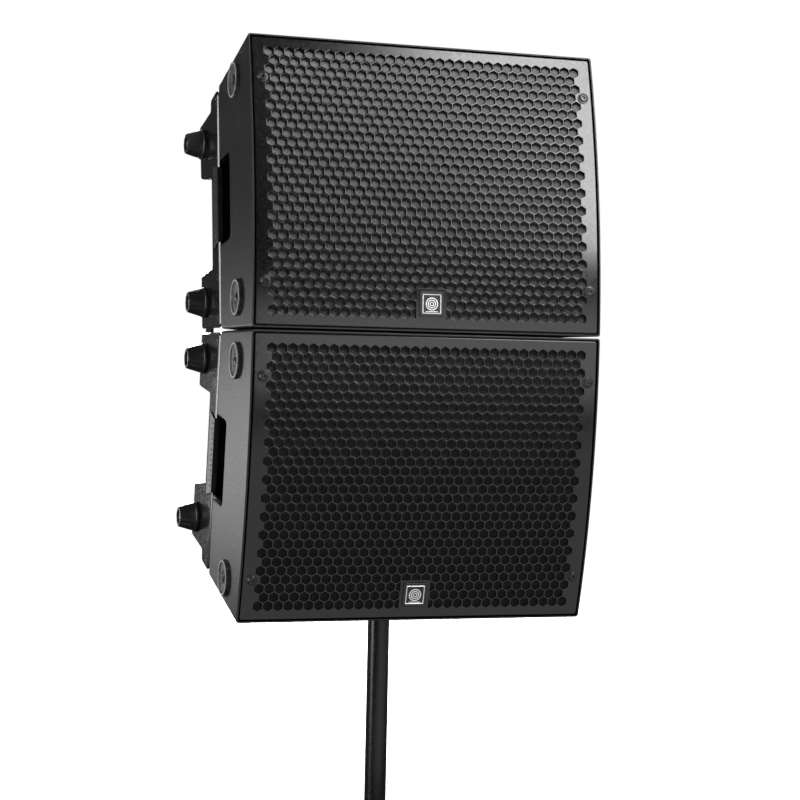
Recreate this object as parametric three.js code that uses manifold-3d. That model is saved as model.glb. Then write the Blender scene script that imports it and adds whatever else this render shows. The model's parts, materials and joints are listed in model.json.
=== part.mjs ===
// Two curved-front line array cabinets, stacked and carried on a speaker pole.
//
// Units are millimetres. +Z is up, the grilles face -Y, and +X is the viewer's right.
// The origin is the centre of the shoulder at the pole's lower end, on the pole's axis.
//
// Each cabinet is drawn in a frame of its own: x across, y rearward from the chord between
// the front edges, z up from the cabinet's mid-plane. Its top and bottom faces meet in a
// line, the wedge's apex, and the front is an arc about that line.

import * as THREE from "three";
import { mergeVertices } from "three/addons/utils/BufferGeometryUtils.js";
import Module from "manifold-3d";

const wasm = await Module();
wasm.setup();

// ---- Driving dimensions ------------------------------------------------------------------

const WIDTH = 554;                      // cabinet, side to side
const HEIGHT = 443;                     // cabinet, front chord
const HALF_WEDGE = THREE.MathUtils.degToRad(8);
const DEPTH = 395;                      // front chord to rear wall
const FLAT_SIDE = 193;                  // depth of the parallel part of each side
const REAR_TAPER = THREE.MathUtils.degToRad(25);
const WALL = 15;                        // plywood
const SEAM = 3;                         // gap between the stacked cabinets
const CLEAR = 0.3;                      // between pieces that touch

const APEX_Y = HEIGHT / 2 / Math.tan(HALF_WEDGE);
const FRONT_RADIUS = HEIGHT / 2 / Math.sin(HALF_WEDGE);
const ARC_STEPS = 12;

const LIP = 2.6;                        // wall edge left showing round the grille
const GROOVE = 1.6;                     // dark gap between lip and grille
const RABBET = 17;                      // radial depth of the grille's seat
const GRILLE_SHEET = 2;
const GRILLE_RETURN = 12;               // turned-back edge of the grille
const GRILLE_SET_BACK = 0.6;
const FOAM = 8;

const BADGE = 38;
const BADGE_THICK = 2.4;
const BADGE_Z = -180;

const BAFFLE_Y = 28;
const WOOFER_X = 156;
const WOOFER_FLANGE = 102;
const WOOFER_HOLE = 92;
const CONE_RADIUS = 85;
const PORT = { width: 150, height: 34, z: 150 };
const HORN = { mouthW: 80, mouthH: 330, throatW: 26, throatH: 60, y: 120, wall: 4, flange: 96 };

const AMP = { width: 330, height: 270, plate: 3 };
const FINS = { count: 12, pitch: 16, thick: 3, depth: 26, sideMargin: 18, endMargin: 14 };
const AMP_OPENING = { width: 300, height: 240 };
const CHASSIS = { halfWidth: 140, halfHeight: 110, depth: 96, sheet: 2 };
const CONTROLS_X = 112;
const LEVEL_Z = 82;
const BUTTON_Z = 45;
const SWITCH_Z = -28;
const INLET_Z = -84;
const ROCKER_TILT = THREE.MathUtils.degToRad(7);
const SHAFT_HOLE = 4;
const BUTTON_HOLE = 7;
const SWITCH_HOLE = { width: 23, height: 31 };
const INLET_HOLE = { width: 29, height: 23 };

const PLATE = 4;                        // rigging steel
const STRIP = { front: 202, rear: 250, corner: 10, pad: 34 };
const EAR_REAR = 330;
const GUSSET_REAR = EAR_REAR - 8;
const KNOB_Y = 297;
const STUD_HOLE = 6.5;
const LINK = { radius: 18, thick: 5 };
const KNOB = { base: 24.5, tip: 16, length: 30, lift: 1, stud: 5.5, studEnd: 15 };

const GRIP_POCKET = { front: 124, rear: 232, low: -66, high: 74, depth: 44, liner: 8, corner: 14 };
const FOOT = { y: 80, radius: 28, proud: 6 };

const POLE_RADIUS = 17.5;
const POLE_WALL = 2.5;
const POLE_EXPOSED = 420;               // shoulder to the cabinet's underside, on the axis
const POLE_IN_CUP = 96;
const POLE_SET_BACK = 228;              // pole axis behind the front seam edge
const CUP = { bore: 18, outer: 22, height: 104, cap: 5, flange: 42, flangeThick: 4 };
const THREAD = { radius: 10, length: 25 };

// Where the rigging features sit on a cabinet, by distance from its mid-plane. Each side
// plate is drawn for a cabinet whose neighbour is below it, and flips for one above it.
const NEAR_EAR = { edge: -87, knob: -136, foot: -164 };
const FAR_EAR = { edgeRoot: 55, edgeTip: 74, tipTop: 160, rootTop: 167, knob: 123, foot: 171 };

// Places that follow from those dimensions.
const SEAT_Y = HEIGHT / 2 * Math.sin(HALF_WEDGE) - POLE_SET_BACK;
const CENTRE_RISE = HEIGHT / 2 * Math.cos(HALF_WEDGE) + SEAM / 2;
const UNDERSIDE_DROP = SEAM / 2 + HEIGHT * Math.cos(HALF_WEDGE)
  - (POLE_SET_BACK - HEIGHT * Math.sin(HALF_WEDGE)) * Math.tan(2 * HALF_WEDGE);
const SEAM_Z = POLE_EXPOSED + UNDERSIDE_DROP;

// ---- Materials ---------------------------------------------------------------------------

const finish = (color, roughness, metalness = 0) =>
  new THREE.MeshStandardMaterial({ color, roughness, metalness });

const LOOK = {
  paint: () => finish(0x1b1b1d, 0.55),
  grille: () => finish(0x151517, 0.45, 0.3),
  foam: () => finish(0x3a3a3c, 0.95),
  wood: () => finish(0x20201f, 0.8),
  basket: () => finish(0x1d1e20, 0.5, 0.6),
  cone: () => finish(0x131313, 0.85),
  moulding: () => finish(0x18181a, 0.6),
  panel: () => finish(0x202124, 0.5, 0.5),
  chassis: () => finish(0xa6a8aa, 0.4, 0.9),
  rubber: () => finish(0x2a2a2b, 0.8),
  steel: () => finish(0x1c1c1e, 0.45, 0.6),
  badge: () => finish(0xb9bbbd, 0.35, 0.9),
};

// ---- Shape helpers -----------------------------------------------------------------------

// One closed mesh with shared corners and no zero-size faces.
function welded(geometry) {
  const bare = geometry.clone();
  bare.deleteAttribute("normal");
  bare.deleteAttribute("uv");
  const merged = mergeVertices(bare, 1e-4);
  const corners = merged.index.array;
  const kept = [];
  for (let i = 0; i < corners.length; i += 3) {
    const [a, b, c] = [corners[i], corners[i + 1], corners[i + 2]];
    if (a !== b && b !== c && c !== a) kept.push(a, b, c);
  }
  merged.setIndex(kept);
  return merged;
}

function solid(geometry) {
  const mesh = welded(geometry);
  return new wasm.Manifold(new wasm.Mesh({
    numProp: 3,
    vertProperties: new Float32Array(mesh.attributes.position.array),
    triVerts: new Uint32Array(mesh.index.array),
  }));
}

function surface(manifold) {
  const mesh = manifold.getMesh();
  const geometry = new THREE.BufferGeometry();
  geometry.setAttribute("position", new THREE.BufferAttribute(new Float32Array(mesh.vertProperties), 3));
  geometry.setIndex([...mesh.triVerts]);
  return geometry;
}

const cut = (base, tools) =>
  surface(tools.reduce((left, tool) => left.subtract(solid(tool)), solid(base)));

const join = (pieces) =>
  surface(pieces.slice(1).reduce((sum, piece) => sum.add(solid(piece)), solid(pieces[0])));

const common = (a, b) => surface(solid(a).intersect(solid(b)));

function extruded(shape, depth, xAxis, yAxis, zAxis, start, curveSegments = 4) {
  const geometry = new THREE.ExtrudeGeometry(shape, { depth, bevelEnabled: false, curveSegments });
  geometry.applyMatrix4(new THREE.Matrix4().makeBasis(xAxis, yAxis, zAxis));
  geometry.translate(...start);
  return geometry;
}

const AXIS_X = new THREE.Vector3(1, 0, 0);
const AXIS_Y = new THREE.Vector3(0, 1, 0);
const AXIS_Z = new THREE.Vector3(0, 0, 1);
const MINUS_Y = new THREE.Vector3(0, -1, 0);

// A side outline in (y, z) carried across from x0 to x1.
const acrossX = (shape, x0, x1, steps) =>
  extruded(shape, x1 - x0, AXIS_Y, AXIS_Z, AXIS_X, [x0, 0, 0], steps);

// A plan outline in (x, y) carried up from z0 to z1.
const upZ = (shape, z0, z1, steps) =>
  extruded(shape, z1 - z0, AXIS_X, AXIS_Y, AXIS_Z, [0, 0, z0], steps);

// A front outline in (x, z) carried back from y0 to y1.
const backY = (shape, y0, y1, steps) =>
  extruded(shape, y1 - y0, AXIS_X, AXIS_Z, MINUS_Y, [0, y1, 0], steps);

function polygon(points) {
  return new THREE.Shape(points.map(([a, b]) => new THREE.Vector2(a, b)));
}

function roundedBox(a0, a1, b0, b1, r) {
  const shape = new THREE.Shape();
  shape.absarc(a1 - r, b0 + r, r, -Math.PI / 2, 0);
  shape.absarc(a1 - r, b1 - r, r, 0, Math.PI / 2);
  shape.absarc(a0 + r, b1 - r, r, Math.PI / 2, Math.PI);
  shape.absarc(a0 + r, b0 + r, r, Math.PI, 1.5 * Math.PI);
  return shape;
}

function box(x0, x1, y0, y1, z0, z1) {
  const geometry = new THREE.BoxGeometry(x1 - x0, y1 - y0, z1 - z0);
  geometry.translate((x0 + x1) / 2, (y0 + y1) / 2, (z0 + z1) / 2);
  return geometry;
}

// A turned piece about the Y axis, from [radius, y] points. ring says that it closes on itself.
function turned(points, sides, ring = false) {
  const outline = points.map(([r, y]) => new THREE.Vector2(r, y));
  if (THREE.ShapeUtils.area(outline) < 0) outline.reverse();
  if (ring) outline.push(outline[0].clone());
  return welded(new THREE.LatheGeometry(outline, sides));
}

function cylinderY(radius, y0, y1, sides = 20) {
  return turned([[0, y0], [radius, y0], [radius, y1], [0, y1]], sides);
}

const cylinderX = (radius, x0, x1, sides) => cylinderY(radius, x0, x1, sides).rotateZ(-Math.PI / 2);

const cylinderZ = (radius, z0, z1, sides) => cylinderY(radius, z0, z1, sides).rotateX(Math.PI / 2);

function mirroredX(geometry) {
  const copy = welded(geometry);
  copy.scale(-1, 1, 1);
  const corners = copy.index.array;
  for (let i = 0; i < corners.length; i += 3) {
    [corners[i + 1], corners[i + 2]] = [corners[i + 2], corners[i + 1]];
  }
  return copy;
}

function mirroredZ(geometry) {
  const copy = mirroredX(geometry);
  copy.rotateY(Math.PI);
  return copy;
}

// ---- Cabinet outlines --------------------------------------------------------------------

// Half angle of the wedge left by faces moved in by `inset`, at a radius from the apex.
const halfAngle = (radius, inset) => HALF_WEDGE - Math.asin(inset / radius);

// Half height between faces moved in by `inset`, at a depth behind the front chord.
const halfHeight = (y, inset) => (APEX_Y - y) * Math.tan(HALF_WEDGE) - inset / Math.cos(HALF_WEDGE);

// Side outline: front arc, faces moved in by `inset`, and a rear edge at rearY.
function wedgeOutline(inset, radius, rearY) {
  const half = halfAngle(radius, inset);
  const shape = new THREE.Shape();
  shape.absarc(APEX_Y, 0, radius, Math.PI - half, Math.PI + half);
  shape.lineTo(rearY, -halfHeight(rearY, inset));
  shape.lineTo(rearY, halfHeight(rearY, inset));
  return shape;
}

// Side outline of a curved layer between two radii.
function arcBand(inset, outer, inner) {
  const outerHalf = halfAngle(outer, inset);
  const innerHalf = halfAngle(inner, inset);
  const shape = new THREE.Shape();
  shape.absarc(APEX_Y, 0, outer, Math.PI - outerHalf, Math.PI + outerHalf);
  shape.absarc(APEX_Y, 0, inner, Math.PI + innerHalf, Math.PI - innerHalf, true);
  return shape;
}

const curvedLayer = (inset, outer, inner) =>
  acrossX(arcBand(inset, outer, inner), -WIDTH / 2 + inset, WIDTH / 2 - inset, ARC_STEPS);

// Half width at a depth behind the front chord, with the sides moved in by `inset`.
function halfWidth(y, inset = 0) {
  const taper = Math.max(0, y - FLAT_SIDE) * Math.tan(REAR_TAPER);
  const slant = y > FLAT_SIDE ? inset / Math.cos(REAR_TAPER) : inset;
  return WIDTH / 2 - taper - slant;
}

function planOutline(inset, frontY, rearY) {
  const bendY = FLAT_SIDE - inset * Math.tan(REAR_TAPER / 2);
  const front = WIDTH / 2 - inset;
  const rear = halfWidth(rearY, inset);
  return polygon([[-front, frontY], [front, frontY], [front, bendY], [rear, rearY],
    [-rear, rearY], [-front, bendY]]);
}

// ---- Cabinet -----------------------------------------------------------------------------

function gripPocket(inset) {
  const p = GRIP_POCKET;
  const outline = roundedBox(p.front - inset, p.rear + inset, p.low - inset, p.high + inset,
    p.corner + inset);
  return acrossX(outline, -WIDTH / 2 - 1, -WIDTH / 2 + p.depth + inset, 3);
}

// Plywood box with its front and rear openings, and a lined hand pocket in each side.
function shellSolid(neighbour, extraCuts) {
  const overshoot = 6;
  const outer = common(
    acrossX(wedgeOutline(0, FRONT_RADIUS, DEPTH), -WIDTH / 2, WIDTH / 2, ARC_STEPS),
    upZ(planOutline(0, -2 * WALL, DEPTH), -HEIGHT / 2, HEIGHT / 2),
  );
  const room = common(
    acrossX(wedgeOutline(WALL, FRONT_RADIUS + overshoot, DEPTH - WALL), -WIDTH / 2, WIDTH / 2, 2),
    upZ(planOutline(WALL, -3 * WALL, DEPTH - WALL), -HEIGHT / 2, HEIGHT / 2),
  );
  const side = neighbour < 0 ? (piece) => piece : mirroredZ;
  const pockets = [side(gripPocket(0)), mirroredX(side(gripPocket(0)))];
  const liners = [side(gripPocket(GRIP_POCKET.liner)), mirroredX(side(gripPocket(GRIP_POCKET.liner)))];
  const open = cut(outer, [
    cut(room, liners),
    curvedLayer(LIP, FRONT_RADIUS + overshoot, FRONT_RADIUS - RABBET),
    ampHole(DEPTH - WALL - 1, DEPTH + 1),
  ]);
  return cut(open, [...pockets, ...extraCuts]);
}

function ampHole(y0, y1) {
  const { width, height } = AMP_OPENING;
  return box(-width / 2, width / 2, y0, y1, -height / 2, height / 2);
}

// Perforated sheet with turned-back edges, drawn here without its holes.
function grilleSolid() {
  const edge = LIP + GROOVE;
  const face = FRONT_RADIUS - GRILLE_SET_BACK;
  return cut(curvedLayer(edge, face, face - GRILLE_RETURN), [
    curvedLayer(edge + GRILLE_SHEET, face - GRILLE_SHEET, face - GRILLE_RETURN - 1),
  ]);
}

function foamSolid() {
  const front = FRONT_RADIUS - GRILLE_SET_BACK - GRILLE_SHEET - CLEAR;
  return curvedLayer(LIP + GROOVE + GRILLE_SHEET + CLEAR, front, front - FOAM);
}

function badgeSolid() {
  const r = FRONT_RADIUS - GRILLE_SET_BACK + CLEAR;
  const lean = Math.asin(BADGE_Z / FRONT_RADIUS);
  const plate = box(-BADGE / 2, BADGE / 2, -BADGE_THICK, 0, -BADGE / 2, BADGE / 2);
  plate.rotateX(-lean);
  plate.translate(0, APEX_Y - r * Math.cos(lean) - BADGE * BADGE / 8 / r, BADGE_Z);
  return plate;
}

function baffleSolid() {
  const rear = BAFFLE_Y + WALL;
  const inset = WALL + CLEAR;
  const side = polygon([[BAFFLE_Y, -halfHeight(BAFFLE_Y, inset)], [rear, -halfHeight(rear, inset)],
    [rear, halfHeight(rear, inset)], [BAFFLE_Y, halfHeight(BAFFLE_Y, inset)]]);
  const board = acrossX(side, -WIDTH / 2 + inset, WIDTH / 2 - inset);
  const clear = HORN.wall + CLEAR;
  const holes = [box(-HORN.mouthW / 2 - clear, HORN.mouthW / 2 + clear, BAFFLE_Y - 1, rear + 1,
    -HORN.mouthH / 2 - clear, HORN.mouthH / 2 + clear)];
  for (const x of [-WOOFER_X, WOOFER_X]) {
    holes.push(cylinderY(WOOFER_HOLE + CLEAR, BAFFLE_Y - 1, rear + 1, 20).translate(x, 0, 0));
    for (const z of [-PORT.z, PORT.z]) {
      holes.push(box(x - PORT.width / 2, x + PORT.width / 2, BAFFLE_Y - 1, rear + 1,
        z - PORT.height / 2, z + PORT.height / 2));
    }
  }
  return cut(board, holes);
}

// Cast frame, magnet and pole piece of a woofer, turned about its axis.
function wooferSolid() {
  const face = BAFFLE_Y - CLEAR - 4;
  return turned([
    [0, face + 106], [62, face + 106], [62, face + 68], [50, face + 66], [89, face + 24],
    [89, face + 4], [WOOFER_FLANGE, face + 4], [WOOFER_FLANGE, face], [88, face],
    [86.5, face + 22], [46, face + 60], [23, face + 66], [23, face + 92], [16, face + 92],
    [16, face + 62], [0, face + 62],
  ], 18);
}

// Surround, cone, dust cap and voice coil, which move as one.
function coneSolid() {
  const face = BAFFLE_Y - CLEAR - 4;
  return turned([
    [CONE_RADIUS - 1, face + 3], [CONE_RADIUS - 8, face + 0], [CONE_RADIUS - 16, face + 4],
    [32, face + 34], [20, face + 28], [0, face + 26], [0, face + 29], [18.5, face + 33],
    [18.5, face + 80], [20.5, face + 80], [20.5, face + 45], [30, face + 41],
    [CONE_RADIUS - 14, face + 9], [CONE_RADIUS - 8, face + 4], [CONE_RADIUS - 1, face + 7],
  ].reverse(), 18, true);
}

function horn(grow, y0, y1) {
  const half = (mouth, throat, y) => {
    const share = (y - BAFFLE_Y) / (HORN.y - BAFFLE_Y);
    return (mouth + (throat - mouth) * share) / 2 + grow;
  };
  const corners = [];
  for (const y of [y0, y1]) {
    const w = half(HORN.mouthW, HORN.throatW, y);
    const h = half(HORN.mouthH, HORN.throatH, y);
    corners.push([-w, y, -h], [w, y, -h], [w, y, h], [-w, y, h]);
  }
  const geometry = new THREE.BufferGeometry();
  geometry.setAttribute("position", new THREE.Float32BufferAttribute(corners.flat(), 3));
  geometry.setIndex([0, 1, 2, 0, 2, 3, 5, 4, 7, 5, 7, 6, 4, 5, 1, 4, 1, 0,
    5, 6, 2, 5, 2, 1, 6, 7, 3, 6, 3, 2, 7, 4, 0, 7, 0, 3]);
  return geometry;
}

function waveguideSolid() {
  const halfFlange = HORN.mouthH / 2 + 10;
  const flange = box(-HORN.flange / 2, HORN.flange / 2, BAFFLE_Y - CLEAR - 4, BAFFLE_Y - CLEAR,
    -halfFlange, halfFlange);
  const body = join([horn(HORN.wall, BAFFLE_Y - CLEAR - 1, HORN.y), flange]);
  return cut(body, [horn(0, BAFFLE_Y - 8, HORN.y + 2)]);
}

function hfDriverSolid() {
  const y = HORN.y + CLEAR;
  return turned([[0, y], [26, y], [26, y + 8], [44, y + 10], [44, y + 34], [38, y + 38],
    [38, y + 52], [0, y + 52]], 16);
}

// Rear plate with its heat sink and the openings for its controls.
function ampPanelSolid() {
  const y = DEPTH + CLEAR;
  const back = y + AMP.plate;
  const pieces = [box(-AMP.width / 2, AMP.width / 2, y, back, -AMP.height / 2, AMP.height / 2)];
  const finTop = AMP.height / 2 - FINS.endMargin;
  for (let i = 0; i < FINS.count; i++) {
    const x = -AMP.width / 2 + FINS.sideMargin + i * FINS.pitch;
    pieces.push(box(x, x + FINS.thick, back - 1, back + FINS.depth, -finTop, finTop));
  }
  const round = (radius, z) => cylinderY(radius, y - 1, back + 1, 12).translate(CONTROLS_X, 0, z);
  const square = ({ width: w, height: h }, z) =>
    box(CONTROLS_X - w / 2, CONTROLS_X + w / 2, y - 1, back + 1, z - h / 2, z + h / 2);
  return cut(join(pieces), [
    round(SHAFT_HOLE, LEVEL_Z),
    round(BUTTON_HOLE, BUTTON_Z),
    square(SWITCH_HOLE, SWITCH_Z),
    square(INLET_HOLE, INLET_Z),
  ]);
}

// Folded tray that carries the amplifier and its supply inside the cabinet.
function ampChassisSolid() {
  const rear = DEPTH - 1;
  const { halfWidth: w, halfHeight: h, depth, sheet: t } = CHASSIS;
  const front = rear - depth;
  return cut(box(-w, w, front, rear, -h, h), [box(-w + t, w - t, front + t, rear + 1, -h + t, h + 1)]);
}

function levelKnobSolid() {
  const y = DEPTH + CLEAR + AMP.plate;
  return turned([[0, y - 12], [3, y - 12], [3, y + 1], [11, y + 1], [11, y + 4], [9.5, y + 15],
    [0, y + 15]], 16);
}

function powerSwitchSolid() {
  const y = DEPTH + CLEAR + AMP.plate;
  const rocker = acrossX(polygon([[-9, -13], [3.4, -13.4], [1.4, 0], [3.4, 13.4], [-9, 13]]), -10, 10);
  return rocker.rotateX(-ROCKER_TILT).translate(0, y, 0);
}

function modeButtonSolid() {
  const y = DEPTH + CLEAR + AMP.plate;
  return turned([[0, y - 10], [6, y - 10], [6, y + 4.2], [5, y + 5], [0, y + 5]], 16);
}

function powerInletSolid() {
  const y = DEPTH + CLEAR + AMP.plate + CLEAR;
  return cut(join([box(-19, 19, y, y + 3, -17, 17), box(-14, 14, y - 26, y + 1, -11, 11)]), [
    box(-11.5, 11.5, y - 18, y + 4, -8, 8),
  ]);
}

// ---- Rigging -----------------------------------------------------------------------------

// Left rigging plate: a strip with two ears, gussets and feet that reach the tapered side.
function riggingSolid() {
  const end = (y) => halfHeight(y, 2);
  const { front, rear, corner, pad } = STRIP;
  const outline = polygon([
    [front + corner, -end(front + corner)], [rear, -end(rear)], [EAR_REAR, -end(EAR_REAR)],
    [EAR_REAR, NEAR_EAR.edge], [rear, NEAR_EAR.edge], [rear, FAR_EAR.edgeRoot],
    [EAR_REAR - 6, FAR_EAR.edgeTip - 4], [EAR_REAR, FAR_EAR.edgeTip + 3],
    [EAR_REAR, FAR_EAR.tipTop], [rear, FAR_EAR.rootTop], [rear, end(rear) - corner],
    [rear - corner, end(rear - corner)], [front + corner, end(front + corner)],
    [front, end(front) - corner], [front, -end(front) + corner],
  ]);
  const outerX = -WIDTH / 2;
  const plate = acrossX(outline, outerX, outerX + PLATE);
  const wedge = (y0, y1, z0, z1) => {
    const gap = CLEAR / Math.cos(REAR_TAPER);
    return upZ(polygon([[outerX, y0], [-halfWidth(y0) - gap, y0], [-halfWidth(y1) - gap, y1],
      [outerX, y1]]), z0, z1);
  };
  const footHigh = end(rear) - corner;
  const parts = [
    plate,
    wedge(front, GUSSET_REAR, NEAR_EAR.edge - PLATE, NEAR_EAR.edge),
    wedge(front, GUSSET_REAR, FAR_EAR.edgeTip, FAR_EAR.edgeTip + PLATE),
    wedge(front + 2, rear - 4, -footHigh, -footHigh + pad),
    wedge(front + 2, rear - 4, footHigh - pad, footHigh),
  ];
  const studs = [NEAR_EAR.knob, FAR_EAR.knob].map((z) =>
    cylinderX(STUD_HOLE, outerX - 1, outerX + PLATE + 1, 16).translate(0, KNOB_Y, z));
  return cut(join(parts), studs);
}

// Tapered clamp knob with its stud, for the left side: the narrow end points to -X.
function knobSolid() {
  const k = KNOB;
  const base = WIDTH / 2 + k.lift;
  const tip = base + k.length;
  return turned([
    [0, base - k.studEnd], [k.stud, base - k.studEnd], [k.stud, base], [k.base, base],
    [k.base, base + 3], [k.tip, tip], [k.tip - 4, tip], [k.tip - 6, tip - 5], [0, tip - 5],
  ], 14).rotateZ(Math.PI / 2).translate(0, KNOB_Y, 0);
}

// Round rubber foot, screwed to the side through its dished middle.
function footSolid() {
  const base = WIDTH / 2 + CLEAR;
  const f = FOOT;
  return turned([
    [0, base], [f.radius, base], [f.radius - 1, base + f.proud], [f.radius - 4, base + f.proud],
    [f.radius - 6, base + f.proud - 2], [0, base + f.proud - 2],
  ], 20).rotateZ(Math.PI / 2).translate(0, f.y, 0);
}

// ---- Assembly of one cabinet -------------------------------------------------------------

function mesh(name, geometry, look) {
  const piece = new THREE.Mesh(geometry, LOOK[look]());
  piece.name = name;
  return piece;
}

function moved(geometry, x, y, z) {
  return geometry.clone().translate(x, y, z);
}

// neighbour is -1 when the stack's other cabinet is below this one, and +1 when it is above.
function cabinet(prefix, neighbour, extraCuts = []) {
  const group = new THREE.Group();
  const add = (name, geometry, look) => group.add(mesh(`${prefix}_${name}`, geometry, look));

  add("shell", shellSolid(neighbour, extraCuts), "paint");
  add("grille", grilleSolid(), "grille");
  add("grille_foam", foamSolid(), "foam");
  add("badge", badgeSolid(), "badge");
  add("baffle", baffleSolid(), "wood");
  add("waveguide", waveguideSolid(), "moulding");
  add("hf_driver", hfDriverSolid(), "basket");
  add("amp_panel", ampPanelSolid(), "panel");
  add("amp_chassis", ampChassisSolid(), "chassis");
  add("level_knob", moved(levelKnobSolid(), CONTROLS_X, 0, LEVEL_Z), "moulding");
  add("mode_button", moved(modeButtonSolid(), CONTROLS_X, 0, BUTTON_Z), "rubber");
  add("power_switch", moved(powerSwitchSolid(), CONTROLS_X, 0, SWITCH_Z), "moulding");
  add("power_inlet", moved(powerInletSolid(), CONTROLS_X, 0, INLET_Z), "moulding");

  const plate = neighbour < 0 ? riggingSolid() : mirroredZ(riggingSolid());
  const height = { far: FAR_EAR, near: NEAR_EAR };
  for (const [side, sign] of [["left", -1], ["right", 1]]) {
    const handed = sign < 0 ? (piece) => piece : mirroredX;
    add(`woofer_${side}`, moved(wooferSolid(), sign * WOOFER_X, 0, 0), "basket");
    add(`cone_${side}`, moved(coneSolid(), sign * WOOFER_X, 0, 0), "cone");
    add(`rigging_${side}`, handed(plate), "steel");
    for (const [end, place] of Object.entries(height)) {
      const label = (end === "far") === (neighbour < 0) ? "top" : "bottom";
      add(`knob_${side}_${label}`, moved(handed(knobSolid()), 0, 0, -neighbour * place.knob), "moulding");
      add(`foot_${side}_${label}`, moved(handed(footSolid()), 0, 0, -neighbour * place.foot), "rubber");
    }
  }

  group.rotation.x = neighbour * HALF_WEDGE;
  group.position.set(0, SEAT_Y, SEAM_Z - neighbour * CENTRE_RISE);
  return group;
}

// ---- Pole and links ----------------------------------------------------------------------

function poleTubeSolid() {
  const inner = POLE_RADIUS - POLE_WALL;
  const top = POLE_EXPOSED + POLE_IN_CUP;
  const bottom = 4;
  return turned([[POLE_RADIUS, bottom], [POLE_RADIUS, top], [inner, top], [inner, bottom]], 24, true)
    .rotateX(Math.PI / 2);
}

// Plug in the tube's lower end: a shoulder with a threaded stud below it.
function poleFootSolid() {
  const spigot = POLE_RADIUS - POLE_WALL - CLEAR - 0.2;
  return turned([[0, -THREAD.length], [THREAD.radius - 1.5, -THREAD.length],
    [THREAD.radius, -THREAD.length + 2], [THREAD.radius, 0], [POLE_RADIUS, 0],
    [POLE_RADIUS, 4 - CLEAR], [spigot, 4 - CLEAR], [spigot, 40], [0, 40]], 24)
    .rotateX(Math.PI / 2);
}

// Upright socket in the lower cabinet. Its flange lies on the sloping underside.
function cupSolid() {
  const bottom = POLE_EXPOSED;
  const flange = cylinderZ(CUP.flange, -CUP.flangeThick - CLEAR, -CLEAR, 24);
  flange.rotateX(2 * HALF_WEDGE).translate(0, 0, bottom);
  const barrel = cylinderZ(CUP.outer, bottom - 1, bottom + CUP.height + CUP.cap, 24);
  const bore = cylinderZ(CUP.bore, bottom - 40, bottom + CUP.height, 24);
  return cut(join([flange, barrel]), [bore]);
}

// Clearance for the socket, moved into the lower cabinet's own frame.
function cupClearance() {
  const tool = cylinderZ(CUP.outer + 1, POLE_EXPOSED - 60, POLE_EXPOSED + 60, 24);
  tool.translate(0, -SEAT_Y, -(SEAM_Z - CENTRE_RISE));
  tool.rotateX(-HALF_WEDGE);
  return tool;
}

// Flat bar behind the ears, joining the two cabinets at the knobs on each side of the seam.
function linkSolid(sign) {
  const reach = KNOB_Y * Math.cos(HALF_WEDGE) + NEAR_EAR.knob * Math.sin(HALF_WEDGE);
  const rise = CENTRE_RISE - KNOB_Y * Math.sin(HALF_WEDGE) + NEAR_EAR.knob * Math.cos(HALF_WEDGE);
  const y = SEAT_Y + reach;
  const outline = new THREE.Shape();
  outline.absarc(y, SEAM_Z + rise, LINK.radius, 0, Math.PI);
  outline.absarc(y, SEAM_Z - rise, LINK.radius, Math.PI, 2 * Math.PI);
  const inner = WIDTH / 2 - PLATE - CLEAR;
  const bar = acrossX(outline, -inner, -inner + LINK.thick, 8);
  const holes = [rise, -rise].map((z) =>
    cylinderX(STUD_HOLE, -inner - 1, -inner + LINK.thick + 1, 16).translate(0, y, SEAM_Z + z));
  const link = cut(bar, holes);
  return sign < 0 ? link : mirroredX(link);
}

const array = new THREE.Group();
array.add(cabinet("upper", -1));
array.add(cabinet("lower", 1, [cupClearance()]));
array.add(mesh("link_left", linkSolid(-1), "steel"));
array.add(mesh("link_right", linkSolid(1), "steel"));
array.add(mesh("pole_cup", cupSolid(), "steel"));
array.add(mesh("pole_tube", poleTubeSolid(), "paint"));
array.add(mesh("pole_foot", poleFootSolid(), "steel"));

export default array;
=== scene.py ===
"""Looks for two stacked line array cabinets carried on a speaker pole.

The pieces of a cabinet are drawn in millimetres in a frame of its own, as in the CAD model:
x across, y rearward from the chord between the front edges, z up from the mid-plane.
cabinet_frame() gives the matrix from there to the row frame. What repeats is drawn once, for
the upper cabinet's left side, and mirrored to the other three places by side_frame().
"""
import json
from math import asin, atan2, copysign, cos, pi, radians, sin, sqrt, tan

import bmesh
import bpy
from mathutils import Matrix, Vector, noise


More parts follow.
